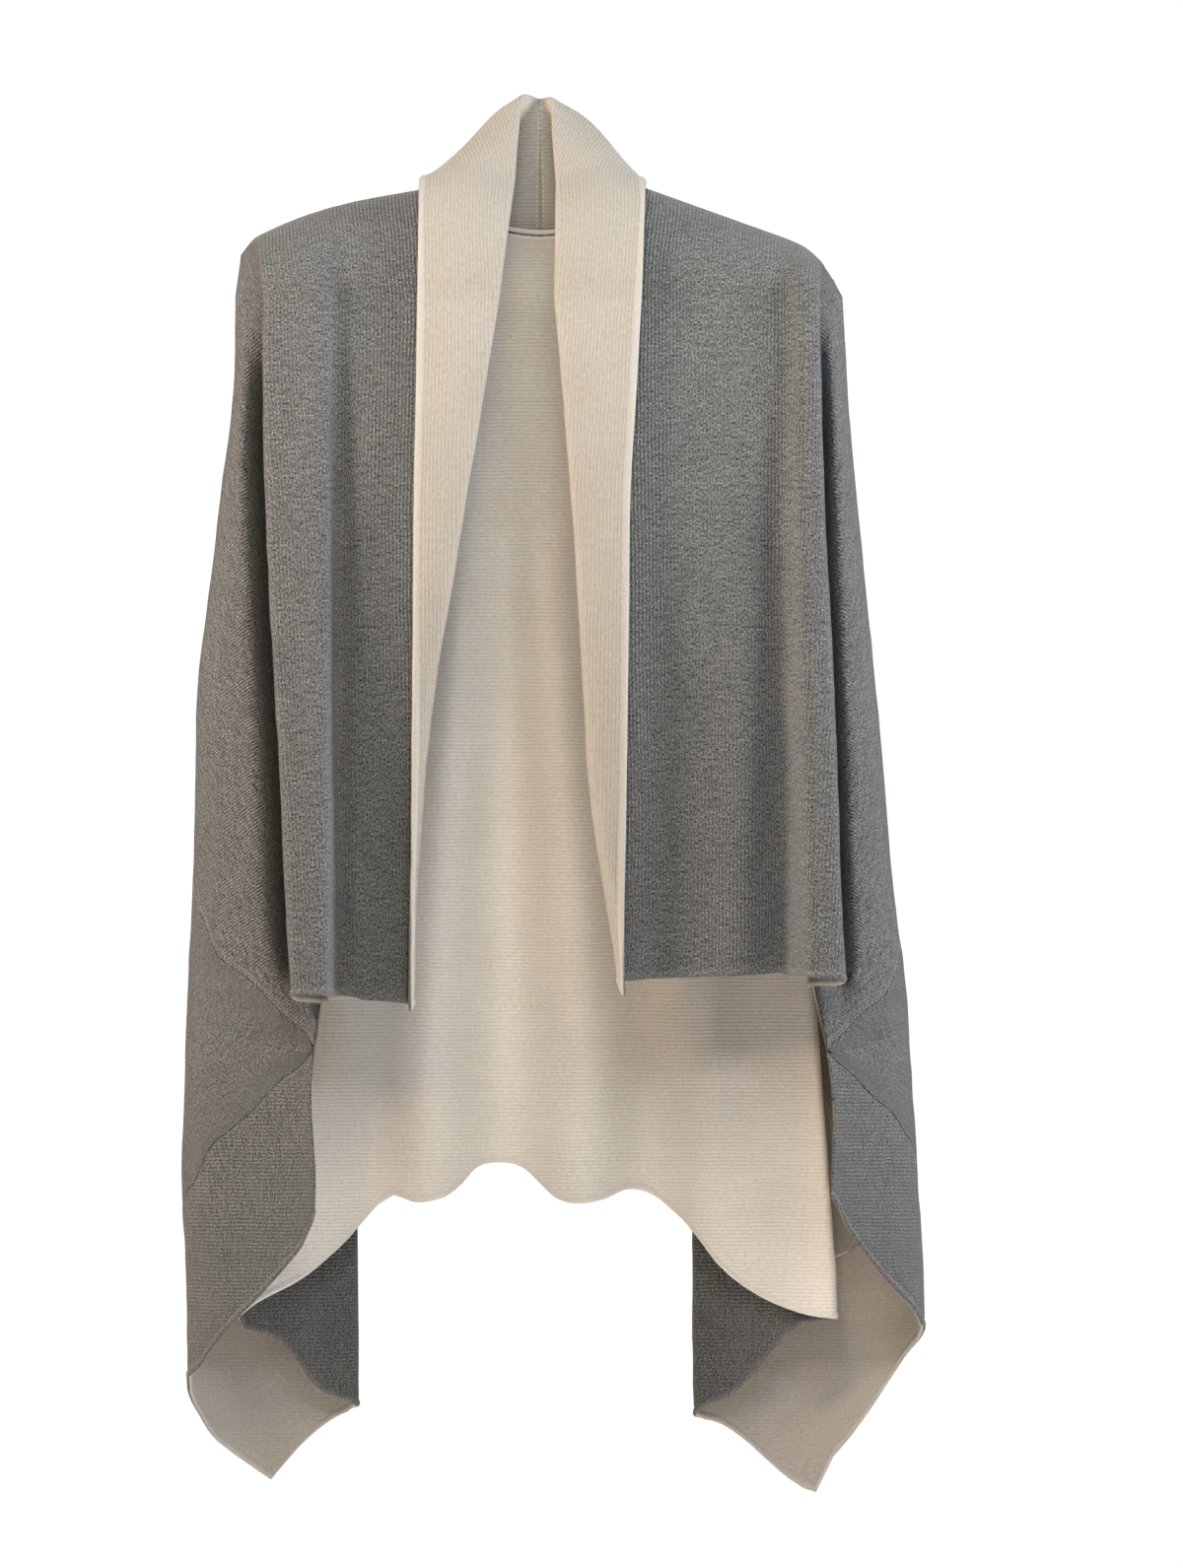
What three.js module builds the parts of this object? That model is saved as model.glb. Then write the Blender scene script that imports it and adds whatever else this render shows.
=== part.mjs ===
import * as THREE from 'three';

// Open cape of double-faced knit, heather grey outside and cream inside, hanging as worn.
// Millimetres, +Z up, the front faces -Y. The origin lies at the base of the neck, between
// the shoulders. "right" and "left" are the wearer's: the right side lies at negative x.
// A section of the cloth at one height is a path with soft corners. It starts at the centre
// back, runs out to a fold, doubles back behind itself, turns out again to the side of the
// cape, comes forward, and ends at the edge of the lapel that is turned out over the front.

const wall = 2.2; // thickness of the double knit
const seamInset = 0.3; // how far a sewn edge stops short of its seam line
const neckInset = 0.75; // the same at the neck seam, where the cloth turns sharply
const collarSeamInset = 0.8; // the same at the centre back seam of the collar
const sideSeamInset = 0.5; // the same along the seam behind the side drape
const shoulderSeamDepth = 6; // how far the shoulder seam lies behind the origin
const chestHeight = -60; // below this the cloth hangs, above it it curves over the shoulder
const napeAngle = 0.9; // how steeply the back leaves the neck seam, in radians; 0 is level
const centreWidth = 45; // the back is rounded across this far from the centre

// How steeply the cloth leaves the shoulder at each corner of the lapel, in radians.
const lapelAngles = { pleatValley: 0, neckLine: 0.05, rollBack: 0.8, rollFront: 0.8,
  lapelMiddle: 0.55, lapelEdge: 0.05 };

// The fold between two layers: how far apart the layers lie where the cloth turns.
const foldDepth = { outer: 17, inner: 17, front: 17, side: 15 };
const lapelFold = { wide: 12, narrow: 6, fullWidth: 30, standProud: 8 };

// Rows and columns of the woven grid that each piece is made from.
const rows = { cap: 5, upper: 11, tail: 3, front: 10, gusset: 5, collar: 6 };

// One entry for each corner of the section path: how soft the turn is, how many grid columns
// go round it, and how many lie on the run that follows.
const corners = [
  { name: 'centre', soft: 0, turn: 1, run: 5 },
  { name: 'blade', soft: 10, turn: 1, run: 4 },
  { name: 'outerFoldFront', soft: 12, turn: 3, run: 0 },
  { name: 'outerFoldBack', soft: 12, turn: 3, run: 3 },
  { name: 'innerFoldFront', soft: 12, turn: 3, run: 0 },
  { name: 'innerFoldBack', soft: 12, turn: 3, run: 2 },
  { name: 'tail', soft: 14, turn: 1, run: 2 },
  { name: 'sideBack', soft: 30, turn: 4, run: 0 },
  { name: 'sideFront', soft: 30, turn: 4, run: 2 },
  { name: 'drapeEdgeBack', soft: 8, turn: 3, run: 0 },
  { name: 'drapeEdgeFront', soft: 8, turn: 3, run: 0 },
  { name: 'frontFoldBack', soft: 8, turn: 3, run: 0 },
  { name: 'frontFoldFront', soft: 9, turn: 3, run: 0 },
  { name: 'pleatCrest', soft: 10, turn: 2, run: 0 },
  { name: 'pleatValley', soft: 10, turn: 2, run: 2 },
  { name: 'neckLine', soft: 16, turn: 1, run: 2 },
  { name: 'rollBack', soft: 6, turn: 2, run: 0 },
  { name: 'rollFront', soft: 6, turn: 2, run: 1 },
  { name: 'lapelMiddle', soft: 14, turn: 3, run: 1 },
  { name: 'lapelEdge', soft: 0, turn: 1, run: 0 },
];

// How far each fold lies from the centre plane, at each height.
const widthColumns = ['z', 'outerFold', 'innerFold', 'side', 'drapeEdge', 'frontFold', 'valley',
  'roll', 'lapelEdge'];
const widths = {
  right: [
    [-60, 95, 150, 213, 190, 195, 149, 30, 87],
    [-130, 105, 155, 215, 184, 195, 149, 41, 88],
    [-200, 118, 158, 223, 176, 193, 149, 53, 89.5],
    [-270, 135, 157, 231, 170, 190, 149, 64, 90],
    [-340, 155, 150, 239, 165, 186, 149, 75, 90.5],
    [-410, 175, 142, 241, 160, 182, 149, 83, 91],
    [-480, 190, 136, 243, 156, 179, 149, 88, 91.5],
    [-550, 199, 133, 247, 152, 175, 149, 89.5, 91.5],
    [-620, 205, 131, 249, 159, 175, 149, 89.5, 91.5],
    [-690, 210, 131, 251, 156, 175, 149, 89.5, 91.5],
    [-760, 214, 131, 247, 158, 175, 149, 89.5, 91.5],
    [-900, 216, 131, 246, 160, 175, 149, 89.5, 91.5],
  ],
  left: [
    [-60, 95, 150, 211, 192, 197, 164, 11, 72],
    [-130, 105, 155, 215, 188, 198, 164, 17, 68],
    [-200, 118, 155, 220, 184, 200, 164, 22, 64],
    [-270, 135, 150, 227, 182, 203, 164, 27, 63],
    [-340, 155, 140, 234, 182, 206, 164, 31.5, 62],
    [-410, 172, 128, 241, 183, 209, 164, 36, 61],
    [-480, 185, 119, 247, 186, 211, 164, 46, 60],
    [-550, 194, 114, 256, 192, 215, 164, 56, 59],
    [-620, 199, 111, 260, 204, 215, 164, 57, 59],
    [-690, 204, 110, 264, 204, 215, 164, 57, 59],
    [-760, 209, 110, 268, 204, 215, 164, 57, 59],
    [-900, 214, 110, 271, 204, 215, 164, 57, 59],
  ],
};

// How far each fold lies behind the origin, at each height. Forward of it is negative.
const depthColumns = ['z', 'centre', 'outerFold', 'innerFold', 'sideBack', 'sideFront',
  'drapeEdge', 'frontFold', 'valley', 'panel'];
const depths = [
  [-60, 66, 60, 46, 24, -6, -34, -52, -62, -58],
  [-130, 84, 76, 62, 38, -8, -46, -68, -80, -80],
  [-200, 90, 82, 70, 46, -6, -52, -78, -88, -90],
  [-270, 92, 80, 80, 52, -4, -55, -83, -92, -94],
  [-340, 94, 70, 92, 58, -2, -56, -86, -94, -96],
  [-410, 96, 60, 102, 63, 0, -57, -88, -95, -97],
  [-480, 98, 50, 110, 67, 2, -57, -90, -96, -98],
  [-550, 100, 44, 116, 71, 3, -56, -92, -97, -98],
  [-620, 103, 40, 121, 74, 4, -52, -92, -97, -98],
  [-760, 109, 36, 127, 79, 8, -44, -92, -97, -98],
  [-900, 112, 36, 130, 80, 10, -40, -92, -97, -98],
];

// The ridge of each shoulder, from the neck to the corner above the side drape.
const ridgeColumns = ['x', 'z'];
const ridges = {
  right: [[70, 19], [86, 16], [120, 9], [152, 2], [184, -10], [202, -19], [212, -31]],
  left: [[70, 17], [86, 10], [106, 2], [148, -14], [176, -20], [194, -30], [208, -49]],
};

// Where each corner of the path reaches the ridge.
const ridgePlaces = {
  right: { outerFold: 120, innerFold: 165, tail: 200, side: 211, drapeEdge: 206, frontFold: 200,
    crest: 180, valley: 149 },
  left: { outerFold: 120, innerFold: 165, tail: 196, side: 207, drapeEdge: 203, frontFold: 198,
    crest: 182, valley: 164 },
};

// The seam between the back and the collar, from the shoulder ridge to the centre back.
const neckColumns = ['part', 'x', 'y', 'z'];
const neckSeam = [
  [0, 70, 6, 18],
  [0.25, 62, 25, 4],
  [0.5, 45, 38, -6],
  [0.75, 24, 46, -13],
  [1, 0, 48, -16],
];

// The collar from the shoulder ridge (part 0) to the centre back (part 1): the inner and outer
// sides of its roll, the bend of the fall and the outer edge, each as x, y and z.
const collarColumns = ['part', 'backX', 'backY', 'backZ', 'frontX', 'frontY', 'frontZ',
  'bendX', 'bendY', 'bendZ', 'edgeX', 'edgeY', 'edgeZ'];
const collars = {
  right: [
    [0, 19, -4, 18, 19, -8, 27, 56, -9, 34, 86, -4, 24],
    [0.33, 17, 24, 50, 16, 22, 60, 47, 26, 54, 80, 32, 20],
    [0.67, 13, 44, 74, 12, 48, 84, 29, 56, 73, 52, 66, 10],
    [1, 0, 55, 76, 0, 62, 82, 0, 74, 67, 0, 76, 6],
  ],
  left: [
    [0, 12, -4, 17, 12, -8, 26, 46, -9, 31, 75, -4, 23],
    [0.33, 10, 24, 49, 9, 22, 58, 44, 26, 55, 73, 32, 19],
    [0.67, 8, 44, 73, 8, 48, 81, 31, 57, 69, 51, 66, 10],
    [1, 0, 55, 76, 0, 62, 82, 0, 74, 67, 0, 76, 6],
  ],
};

// Each half of the collar and neck seam runs on smoothly into the other at the centre back.
function runOn(table, columns) {
  const [before, last] = table.slice(-2);
  return [...table, columns.map((name, i) => {
    if (name === 'part') {
      return 2 * last[i] - before[i];
    }
    return name.toLowerCase().endsWith('x') ? -before[i] : before[i];
  })];
}
const neckRows = runOn(neckSeam, neckColumns);
const collarRows = {
  right: runOn(collars.right, collarColumns),
  left: runOn(collars.left, collarColumns),
};

// The wavy hem of the back between the centre and the outer fold.
const hemColumns = ['x', 'z'];
const backHems = {
  right: [[0, -691], [12, -680], [26, -676], [45, -679], [58, -693], [70, -701], [90, -704],
    [107, -699], [122, -713], [142, -735], [168, -757], [203, -776], [215, -786]],
  left: [[0, -691], [11, -701], [25, -705], [45, -702], [62, -695], [80, -699], [104, -719],
    [129, -751], [155, -770], [187, -783], [213, -787]],
};

// The lower edge of the back past the outer fold: a corner of the path, how far past it (the
// turn takes the first half of the way to the next corner, the run the second) and the height.
// The return runs from the outer fold to the tip of the tail, the cascade on to the free edge.
const tailEdges = {
  right: {
    return: [['outerFoldBack', 0.25, -787], ['outerFoldBack', 0.62, -799],
      ['outerFoldBack', 0.73, -813], ['outerFoldBack', 0.81, -830],
      ['outerFoldBack', 0.91, -842], ['innerFoldFront', 0.25, -849],
      ['innerFoldBack', 0.25, -851], ['innerFoldBack', 0.5, -854],
      ['innerFoldBack', 0.71, -864], ['innerFoldBack', 0.9, -878],
      ['tail', 0, -887], ['tail', 0.25, -902]],
    cascade: [['tail', 0.25, -902], ['tail', 0.5, -894], ['tail', 1, -877],
      ['sideBack', 0.1, -869], ['sideBack', 0.25, -853], ['sideBack', 0.5, -838],
      ['sideFront', 0.25, -822], ['sideFront', 0.45, -801], ['sideFront', 0.59, -784],
      ['sideFront', 0.73, -767], ['sideFront', 0.9, -743], ['sideFront', 0.99, -728],
      ['drapeEdgeBack', 0.0833, -712]],
  },
  left: {
    return: [['outerFoldBack', 0.25, -787], ['outerFoldBack', 0.58, -789],
      ['outerFoldBack', 0.66, -797], ['outerFoldBack', 0.73, -811],
      ['outerFoldBack', 0.82, -830], ['outerFoldBack', 0.91, -844],
      ['innerFoldFront', 0.25, -855], ['innerFoldBack', 0.25, -858],
      ['innerFoldBack', 0.56, -861], ['innerFoldBack', 0.73, -875],
      ['innerFoldBack', 0.82, -886], ['tail', 0, -905], ['tail', 0.25, -911]],
    cascade: [['tail', 0.25, -911], ['tail', 0.5, -886], ['tail', 0.65, -872],
      ['tail', 0.89, -846], ['sideBack', 0, -832], ['sideBack', 0.16, -812],
      ['sideBack', 0.38, -799], ['sideBack', 0.5, -795], ['sideFront', 0.12, -791],
      ['sideFront', 0.24, -782], ['sideFront', 0.43, -767], ['sideFront', 0.67, -744],
      ['sideFront', 0.88, -721], ['sideFront', 0.97, -706], ['drapeEdgeBack', 0.0833, -700]],
  },
};

// Heights of the two gusset seams and of the front hem at corners of the path.
const upperSeamHeights = {
  right: { innerFold: -375, tail: -425, sideBack: -460, sideFront: -502, drapeEdge: -594 },
  left: { innerFold: -375, tail: -430, sideBack: -490, sideFront: -545, drapeEdge: -596 },
};
const lowerSeamHeights = {
  right: { innerFold: -800, tail: -758, sideBack: -718, sideFront: -688, drapeEdge: -594 },
  left: { innerFold: -808, tail: -752, sideBack: -690, sideFront: -652, drapeEdge: -596 },
};
const frontHemHeights = {
  right: { drapeEdge: -562, frontFold: -556, valley: -556, neck: -560, roll: -565, lapel: -567 },
  left: { drapeEdge: -550, frontFold: -546, valley: -540, neck: -543, roll: -549, lapel: -557 },
};

// Soft flutes in the lower back, which swell towards the hem.
const flutes = { spacing: 112, crestX: -87, depth: 13, start: -430, full: -690, reach: 150 };
// The pleat at each side of the back opens out of the flat cloth between these heights.
const pleat = { start: -240, full: -470 };

const cornerIndex = Object.fromEntries(corners.map((corner, i) => [corner.name, i]));
const smooth = (t) => {
  const s = Math.min(1, Math.max(0, t));
  return s * s * (3 - 2 * s);
};
const mix = (a, b, t) => a + (b - a) * t;

// A smooth curve through a table's rows, read at one value of its first column.
function readTable(table, columns, name, at) {
  const column = columns.indexOf(name);
  const falling = table[0][0] > table[table.length - 1][0];
  const sorted = falling ? [...table].reverse() : table;
  const last = sorted.length - 1;
  const place = Math.min(sorted[last][0], Math.max(sorted[0][0], at));
  let i = 0;
  while (i < last - 1 && place > sorted[i + 1][0]) {
    i += 1;
  }
  const before = sorted[Math.max(0, i - 1)];
  const from = sorted[i];
  const to = sorted[i + 1];
  const after = sorted[Math.min(last, i + 2)];
  const span = to[0] - from[0];
  const slopeFrom = (to[column] - before[column]) / (to[0] - before[0]);
  const slopeTo = (after[column] - from[column]) / (after[0] - from[0]);
  const t = (place - from[0]) / span;
  const t2 = t * t;
  const t3 = t2 * t;
  return (2 * t3 - 3 * t2 + 1) * from[column] + (t3 - 2 * t2 + t) * slopeFrom * span
    + (3 * t2 - 2 * t3) * to[column] + (t3 - t2) * slopeTo * span;
}

// Points along a path whose corners are rounded by a quadratic curve, which takes at most
// turnShare of the way to the next corner.
const turnShare = 0.42;
function samplePath(points, shapes) {
  const samples = [];
  const reach = points.map((point, i) => {
    if (i === 0 || i === points.length - 1) {
      return 0;
    }
    const before = point.distanceTo(points[i - 1]) * turnShare;
    const after = point.distanceTo(points[i + 1]) * turnShare;
    return Math.min(shapes[i].soft, before, after);
  });
  points.forEach((point, i) => {
    const next = points[i + 1];
    const enter = i > 0 ? towards(point, points[i - 1], reach[i]) : point;
    const leave = next ? towards(point, next, reach[i]) : point;
    for (let k = 0; k < shapes[i].turn; k += 1) {
      const t = (k + 0.5) / shapes[i].turn;
      const first = enter.clone().lerp(point, t);
      const second = point.clone().lerp(leave, t);
      samples.push(first.lerp(second, t));
    }
    if (next) {
      const arrive = towards(next, point, reach[i + 1]);
      for (let k = 1; k <= shapes[i].run; k += 1) {
        samples.push(leave.clone().lerp(arrive, k / (shapes[i].run + 1)));
      }
    }
  });
  return samples;
}

function towards(point, target, distance) {
  const length = point.distanceTo(target);
  return length > 0 ? point.clone().lerp(target, distance / length) : point.clone();
}

// The grid column at the middle of each named corner, and the place of every column: a
// corner's number, and how far past that corner the column lies.
const columnOf = {};
const columnPlaces = [];
corners.forEach((corner, i) => {
  columnOf[corner.name] = columnPlaces.length + Math.floor(corner.turn / 2);
  for (let k = 0; k < corner.turn; k += 1) {
    columnPlaces.push(i + (0.5 * (k + 0.5)) / corner.turn);
  }
  for (let k = 1; k <= corner.run; k += 1) {
    columnPlaces.push(i + 0.5 + (0.5 * k) / (corner.run + 1));
  }
});
const seamColumn = columnOf.innerFoldBack + 2; // first column on the flat of the outermost layer
const freeColumn = columnOf.drapeEdgeBack - 1; // the free edge of the side drape
const neckColumn = columnOf.neckLine;
const lastColumn = columnPlaces.length - 1;

// The corners of the section path at one height, as x (outwards from the centre plane) and y.
function sectionCorners(side, z) {
  const width = (name) => readTable(widths[side], widthColumns, name, z);
  const depth = (name) => readTable(depths, depthColumns, name, z);
  const opened = smooth((pleat.start - z) / (pleat.start - pleat.full));
  const outer = { x: width('outerFold'), y: depth('outerFold') };
  const inner = { x: width('innerFold'), y: depth('innerFold') };
  const panel = depth('panel');
  const frontFold = depth('frontFold');
  const drapeEdge = depth('drapeEdge');
  const roll = width('roll');
  const lapel = width('lapelEdge');
  const valley = width('valley');
  const lapelWidth = Math.abs(lapel - roll);
  const turned = smooth(lapelWidth / lapelFold.fullWidth);
  const fold = mix(lapelFold.narrow, lapelFold.wide, turned);
  const proud = mix(lapelFold.standProud, 0, turned);
  const lapelDepth = panel - fold;
  const points = {
    centre: [0, depth('centre')],
    blade: [outer.x * 0.5 + 22, mix(depth('centre'), outer.y, 0.22)],
    outerFoldFront: [outer.x, outer.y],
    outerFoldBack: [outer.x + mix(16, 0, opened), outer.y + mix(-3, foldDepth.outer, opened)],
    innerFoldFront: [inner.x, inner.y],
    innerFoldBack: [inner.x + mix(14, 0, opened), inner.y + mix(-6, foldDepth.inner, opened)],
    tail: [mix(inner.x, width('side'), 0.54), mix(inner.y, depth('sideBack'), 0.42)
      + mix(0, foldDepth.inner, opened)],
    sideBack: [width('side') + 3, depth('sideBack')],
    sideFront: [width('side') + 3, depth('sideFront')],
    drapeEdgeBack: [width('drapeEdge'), drapeEdge],
    drapeEdgeFront: [width('drapeEdge') - 1, drapeEdge - foldDepth.side],
    frontFoldBack: [width('frontFold'), frontFold],
    frontFoldFront: [width('frontFold') + 1, frontFold - foldDepth.front],
    pleatCrest: [mix(valley, width('frontFold'), 0.35), frontFold - foldDepth.front - 4],
    pleatValley: [valley - 5, depth('valley')],
    neckLine: [mix(valley, roll, 0.6), panel - 2],
    rollBack: [roll, panel],
    rollFront: [roll, lapelDepth],
    lapelMiddle: [mix(roll, lapel, 0.5), lapelDepth - proud / 2 - 3 * turned],
    lapelEdge: [lapel, lapelDepth - proud],
  };
  return corners.map(({ name }) => new THREE.Vector3(points[name][0], points[name][1], z));
}

// The corners of the path where the cloth meets the shoulder ridge or the neck seam.
function ridgeCorners(side) {
  const places = ridgePlaces[side];
  const collar = (name) => readTable(collarRows[side], collarColumns, name, 0);
  const onRidge = (x) => new THREE.Vector3(x, shoulderSeamDepth,
    readTable(ridges[side], ridgeColumns, 'z', x));
  const points = {
    centre: neckPoint(1),
    blade: neckPoint(0),
    outerFoldFront: onRidge(places.outerFold),
    outerFoldBack: onRidge(places.outerFold + 15),
    innerFoldFront: onRidge(places.innerFold),
    innerFoldBack: onRidge(places.innerFold + 20),
    tail: onRidge(places.tail),
    sideBack: onRidge(places.side),
    sideFront: onRidge(places.side + 1),
    drapeEdgeBack: onRidge(places.drapeEdge),
    drapeEdgeFront: onRidge(places.drapeEdge - 2),
    frontFoldBack: onRidge(places.frontFold + 2),
    frontFoldFront: onRidge(places.frontFold),
    pleatCrest: onRidge(places.crest),
    pleatValley: onRidge(places.valley),
    neckLine: neckPoint(0),
    rollBack: new THREE.Vector3(collar('backX'), collar('backY'), collar('backZ')),
    rollFront: new THREE.Vector3(collar('frontX'), collar('frontY'), collar('frontZ')),
    lapelMiddle: new THREE.Vector3(collar('bendX'), collar('bendY'), collar('bendZ')),
    lapelEdge: new THREE.Vector3(collar('edgeX'), collar('edgeY'), collar('edgeZ')),
  };
  return corners.map(({ name }) => points[name]);
}

function neckPoint(part) {
  const read = (name) => readTable(neckRows, neckColumns, name, part);
  return new THREE.Vector3(read('x'), read('y'), read('z'));
}

// One row of the top edge, with the neck seam followed exactly between centre and shoulder,
// where it ends in a sharp corner.
const neckEnds = ['blade', 'neckLine'];
const ridgeShapes = corners.map((corner) => (
  neckEnds.includes(corner.name) ? { ...corner, soft: 0 } : corner));
function ridgeRow(side) {
  const samples = samplePath(ridgeCorners(side), ridgeShapes);
  for (let column = 1; column < columnOf.blade; column += 1) {
    samples[column] = neckPoint(1 - column / columnOf.blade);
  }
  return samples;
}

function sectionRow(side, z) {
  const samples = samplePath(sectionCorners(side, z), corners);
  const depth = (name) => readTable(depths, depthColumns, name, z);
  const bladeX = readTable(widths[side], widthColumns, 'outerFold', z) * 0.5 + 22;
  const slope = ((depth('outerFold') - depth('centre')) * 0.22) / bladeX;
  for (let column = 0; samples[column].x < centreWidth; column += 1) {
    samples[column].y += (slope * (samples[column].x - centreWidth) ** 2) / (2 * centreWidth);
  }
  const swell = smooth((flutes.start - z) / (flutes.start - flutes.full));
  const sign = side === 'right' ? -1 : 1;
  for (let column = 0; column <= columnOf.outerFoldFront; column += 1) {
    const sample = samples[column];
    const phase = (2 * Math.PI * (sign * sample.x - flutes.crestX)) / flutes.spacing;
    const fade = smooth((flutes.reach - sample.x) / 40);
    sample.y -= flutes.depth * swell * fade * Math.cos(phase);
  }
  return samples;
}

const ridgeSamples = { right: ridgeRow('right'), left: ridgeRow('left') };

function lapelAngle(place) {
  const stations = Object.entries(lapelAngles)
    .map(([name, angle]) => [cornerIndex[name] + 0.25, angle]);
  const last = stations.findIndex(([at]) => at >= place);
  if (last < 1) {
    return 0;
  }
  const [[from, angleFrom], [to, angleTo]] = stations.slice(last - 1, last + 1);
  return mix(angleFrom, angleTo, (place - from) / (to - from));
}

// A point of the cloth above the chest, as it curves over the shoulder: angle 0 is the seam.
function capPoint(side, column, angle) {
  const top = ridgeSamples[side][column];
  const chest = sectionRow(side, chestHeight)[column];
  const start = napeAngle * smooth(1 - column / columnOf.outerFoldFront)
    + lapelAngle(columnPlaces[column]);
  const turned = mix(start, Math.PI / 2, angle / (Math.PI / 2));
  const drop = 1 - Math.cos(turned) / Math.cos(start);
  const out = (Math.sin(turned) - Math.sin(start)) / (1 - Math.sin(start));
  return new THREE.Vector3(
    mix(top.x, chest.x, drop),
    mix(top.y, chest.y, out),
    mix(top.z, chestHeight, drop),
  );
}

// A row of the collar behind the shoulder, from its neck seam to its outer edge.
function collarRow(side, part) {
  const read = (name) => readTable(collarRows[side], collarColumns, name, part);
  const place = (name) => new THREE.Vector3(read(`${name}X`), read(`${name}Y`), read(`${name}Z`));
  const points = [neckPoint(part), place('back'), place('front'), place('bend'), place('edge')];
  return samplePath(points, corners.slice(cornerIndex.neckLine));
}

// Heights given at named corners, spread over the grid columns between them.
function spread(heights, stations, column) {
  let i = 0;
  while (i < stations.length - 2 && column > stations[i + 1][1]) {
    i += 1;
  }
  const [fromName, fromColumn] = stations[i];
  const [toName, toColumn] = stations[i + 1];
  const t = Math.min(1, Math.max(0, (column - fromColumn) / (toColumn - fromColumn)));
  return mix(heights[fromName], heights[toName], t);
}

const seamStations = [
  ['innerFold', seamColumn],
  ['tail', columnOf.tail],
  ['sideBack', columnOf.sideBack],
  ['sideFront', columnOf.sideFront],
  ['drapeEdge', freeColumn],
];
const frontStations = [
  ['drapeEdge', columnOf.drapeEdgeFront],
  ['frontFold', columnOf.frontFoldFront],
  ['valley', columnOf.pleatValley],
  ['neck', neckColumn],
  ['roll', columnOf.rollFront],
  ['lapel', lastColumn],
];

// The lower edge of the back: the wavy hem, then the return, the tail and the free edge.
function backEdge(side, column) {
  if (column >= columnOf.outerFoldBack) {
    const part = column < columnOf.tail ? 'return' : 'cascade';
    const table = tailEdges[side][part].map(([name, past, z]) => [cornerIndex[name] + past, z]);
    return readTable(table, ['place', 'z'], 'z', columnPlaces[column]);
  }
  let z = backHems[side][0][1];
  for (let i = 0; i < 4; i += 1) {
    const x = sectionRow(side, z)[column].x;
    z = readTable(backHems[side], hemColumns, 'z', x);
  }
  return z;
}

// The line that parts the rows of the back's body from the rows that wrap round to the front.
function backSplit(side, column) {
  if (column >= seamColumn) {
    return spread(lowerSeamHeights[side], seamStations, column);
  }
  const atSeam = lowerSeamHeights[side].innerFold;
  const share = (atSeam - chestHeight) / (backEdge(side, seamColumn) - chestHeight);
  return mix(chestHeight, backEdge(side, column), share);
}

function frontEdge(side, column) {
  return column <= freeColumn
    ? spread(upperSeamHeights[side], seamStations, column)
    : spread(frontHemHeights[side], frontStations, column);
}

function hangRow(side, column, from, to, share) {
  const z = mix(from, to, share);
  return sectionRow(side, z)[column];
}

function mirrored(side, point) {
  return side === 'right' ? new THREE.Vector3(-point.x, point.y, point.z) : point;
}

// A closed wall of cloth round a grid of points. A cell is cloth where all four of its points
// are there, and the two faces of the wall lie half its thickness to each side of the points.
function clothSolid(grid) {
  const key = (r, c) => `${r},${c}`;
  const cells = [];
  for (let r = 0; r + 1 < grid.length; r += 1) {
    for (let c = 0; c + 1 < grid[r].length; c += 1) {
      const places = [[r, c], [r, c + 1], [r + 1, c + 1], [r + 1, c]];
      if (places.every(([row, column]) => grid[row][column])) {
        cells.push(places);
      }
    }
  }
  const normals = new Map();
  cells.forEach((places) => {
    const [a, b, c, d] = places.map(([row, column]) => grid[row][column]);
    const normal = c.clone().sub(a).cross(d.clone().sub(b));
    places.forEach(([row, column]) => {
      const sum = normals.get(key(row, column)) ?? new THREE.Vector3();
      normals.set(key(row, column), sum.add(normal));
    });
  });
  const index = new Map();
  const vertices = [];
  const byPlace = new Map();
  const vertexAt = ([row, column]) => {
    const name = key(row, column);
    if (!index.has(name)) {
      const point = grid[row][column];
      const spot = point.toArray().map((value) => value.toFixed(4)).join();
      if (!byPlace.has(spot)) {
        const offset = normals.get(name).clone().normalize().multiplyScalar(wall / 2);
        byPlace.set(spot, vertices.length / 2);
        vertices.push(point.clone().add(offset), point.clone().sub(offset));
      }
      index.set(name, byPlace.get(spot));
    }
    return index.get(name);
  };
  const edges = new Map();
  const faces = [];
  cells.forEach((places) => {
    const [a, b, c, d] = places.map(vertexAt);
    [[a, b, c], [a, c, d]].forEach((triangle) => {
      if (new Set(triangle).size < 3) {
        return;
      }
      const [p, q, r] = triangle;
      faces.push([2 * p, 2 * q, 2 * r], [2 * r + 1, 2 * q + 1, 2 * p + 1]);
      [[p, q], [q, r], [r, p]].forEach(([from, to]) => {
        const back = `${to},${from}`;
        if (edges.has(back)) {
          edges.delete(back);
        } else {
          edges.set(`${from},${to}`, [from, to]);
        }
      });
    });
  });
  edges.forEach(([from, to]) => {
    faces.push([2 * to, 2 * from, 2 * from + 1], [2 * to, 2 * from + 1, 2 * to + 1]);
  });
  const geometry = new THREE.BufferGeometry();
  geometry.setAttribute('position', new THREE.Float32BufferAttribute(
    vertices.flatMap((vertex) => vertex.toArray()),
    3,
  ));
  const outward = volume(vertices, faces) > 0 ? faces : faces.map(([a, b, c]) => [a, c, b]);
  geometry.setIndex(outward.flat());
  geometry.computeVertexNormals();
  return geometry;
}

function volume(vertices, faces) {
  return faces.reduce((sum, [a, b, c]) => sum
    + vertices[a].dot(vertices[b].clone().cross(vertices[c])) / 6, 0);
}

// Draws the points of one edge back from the seam line, towards the next row or column.
function drawBack(point, neighbour, distance) {
  if (point && neighbour && point !== neighbour) {
    point.copy(towards(point, neighbour, distance));
  }
}

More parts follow.
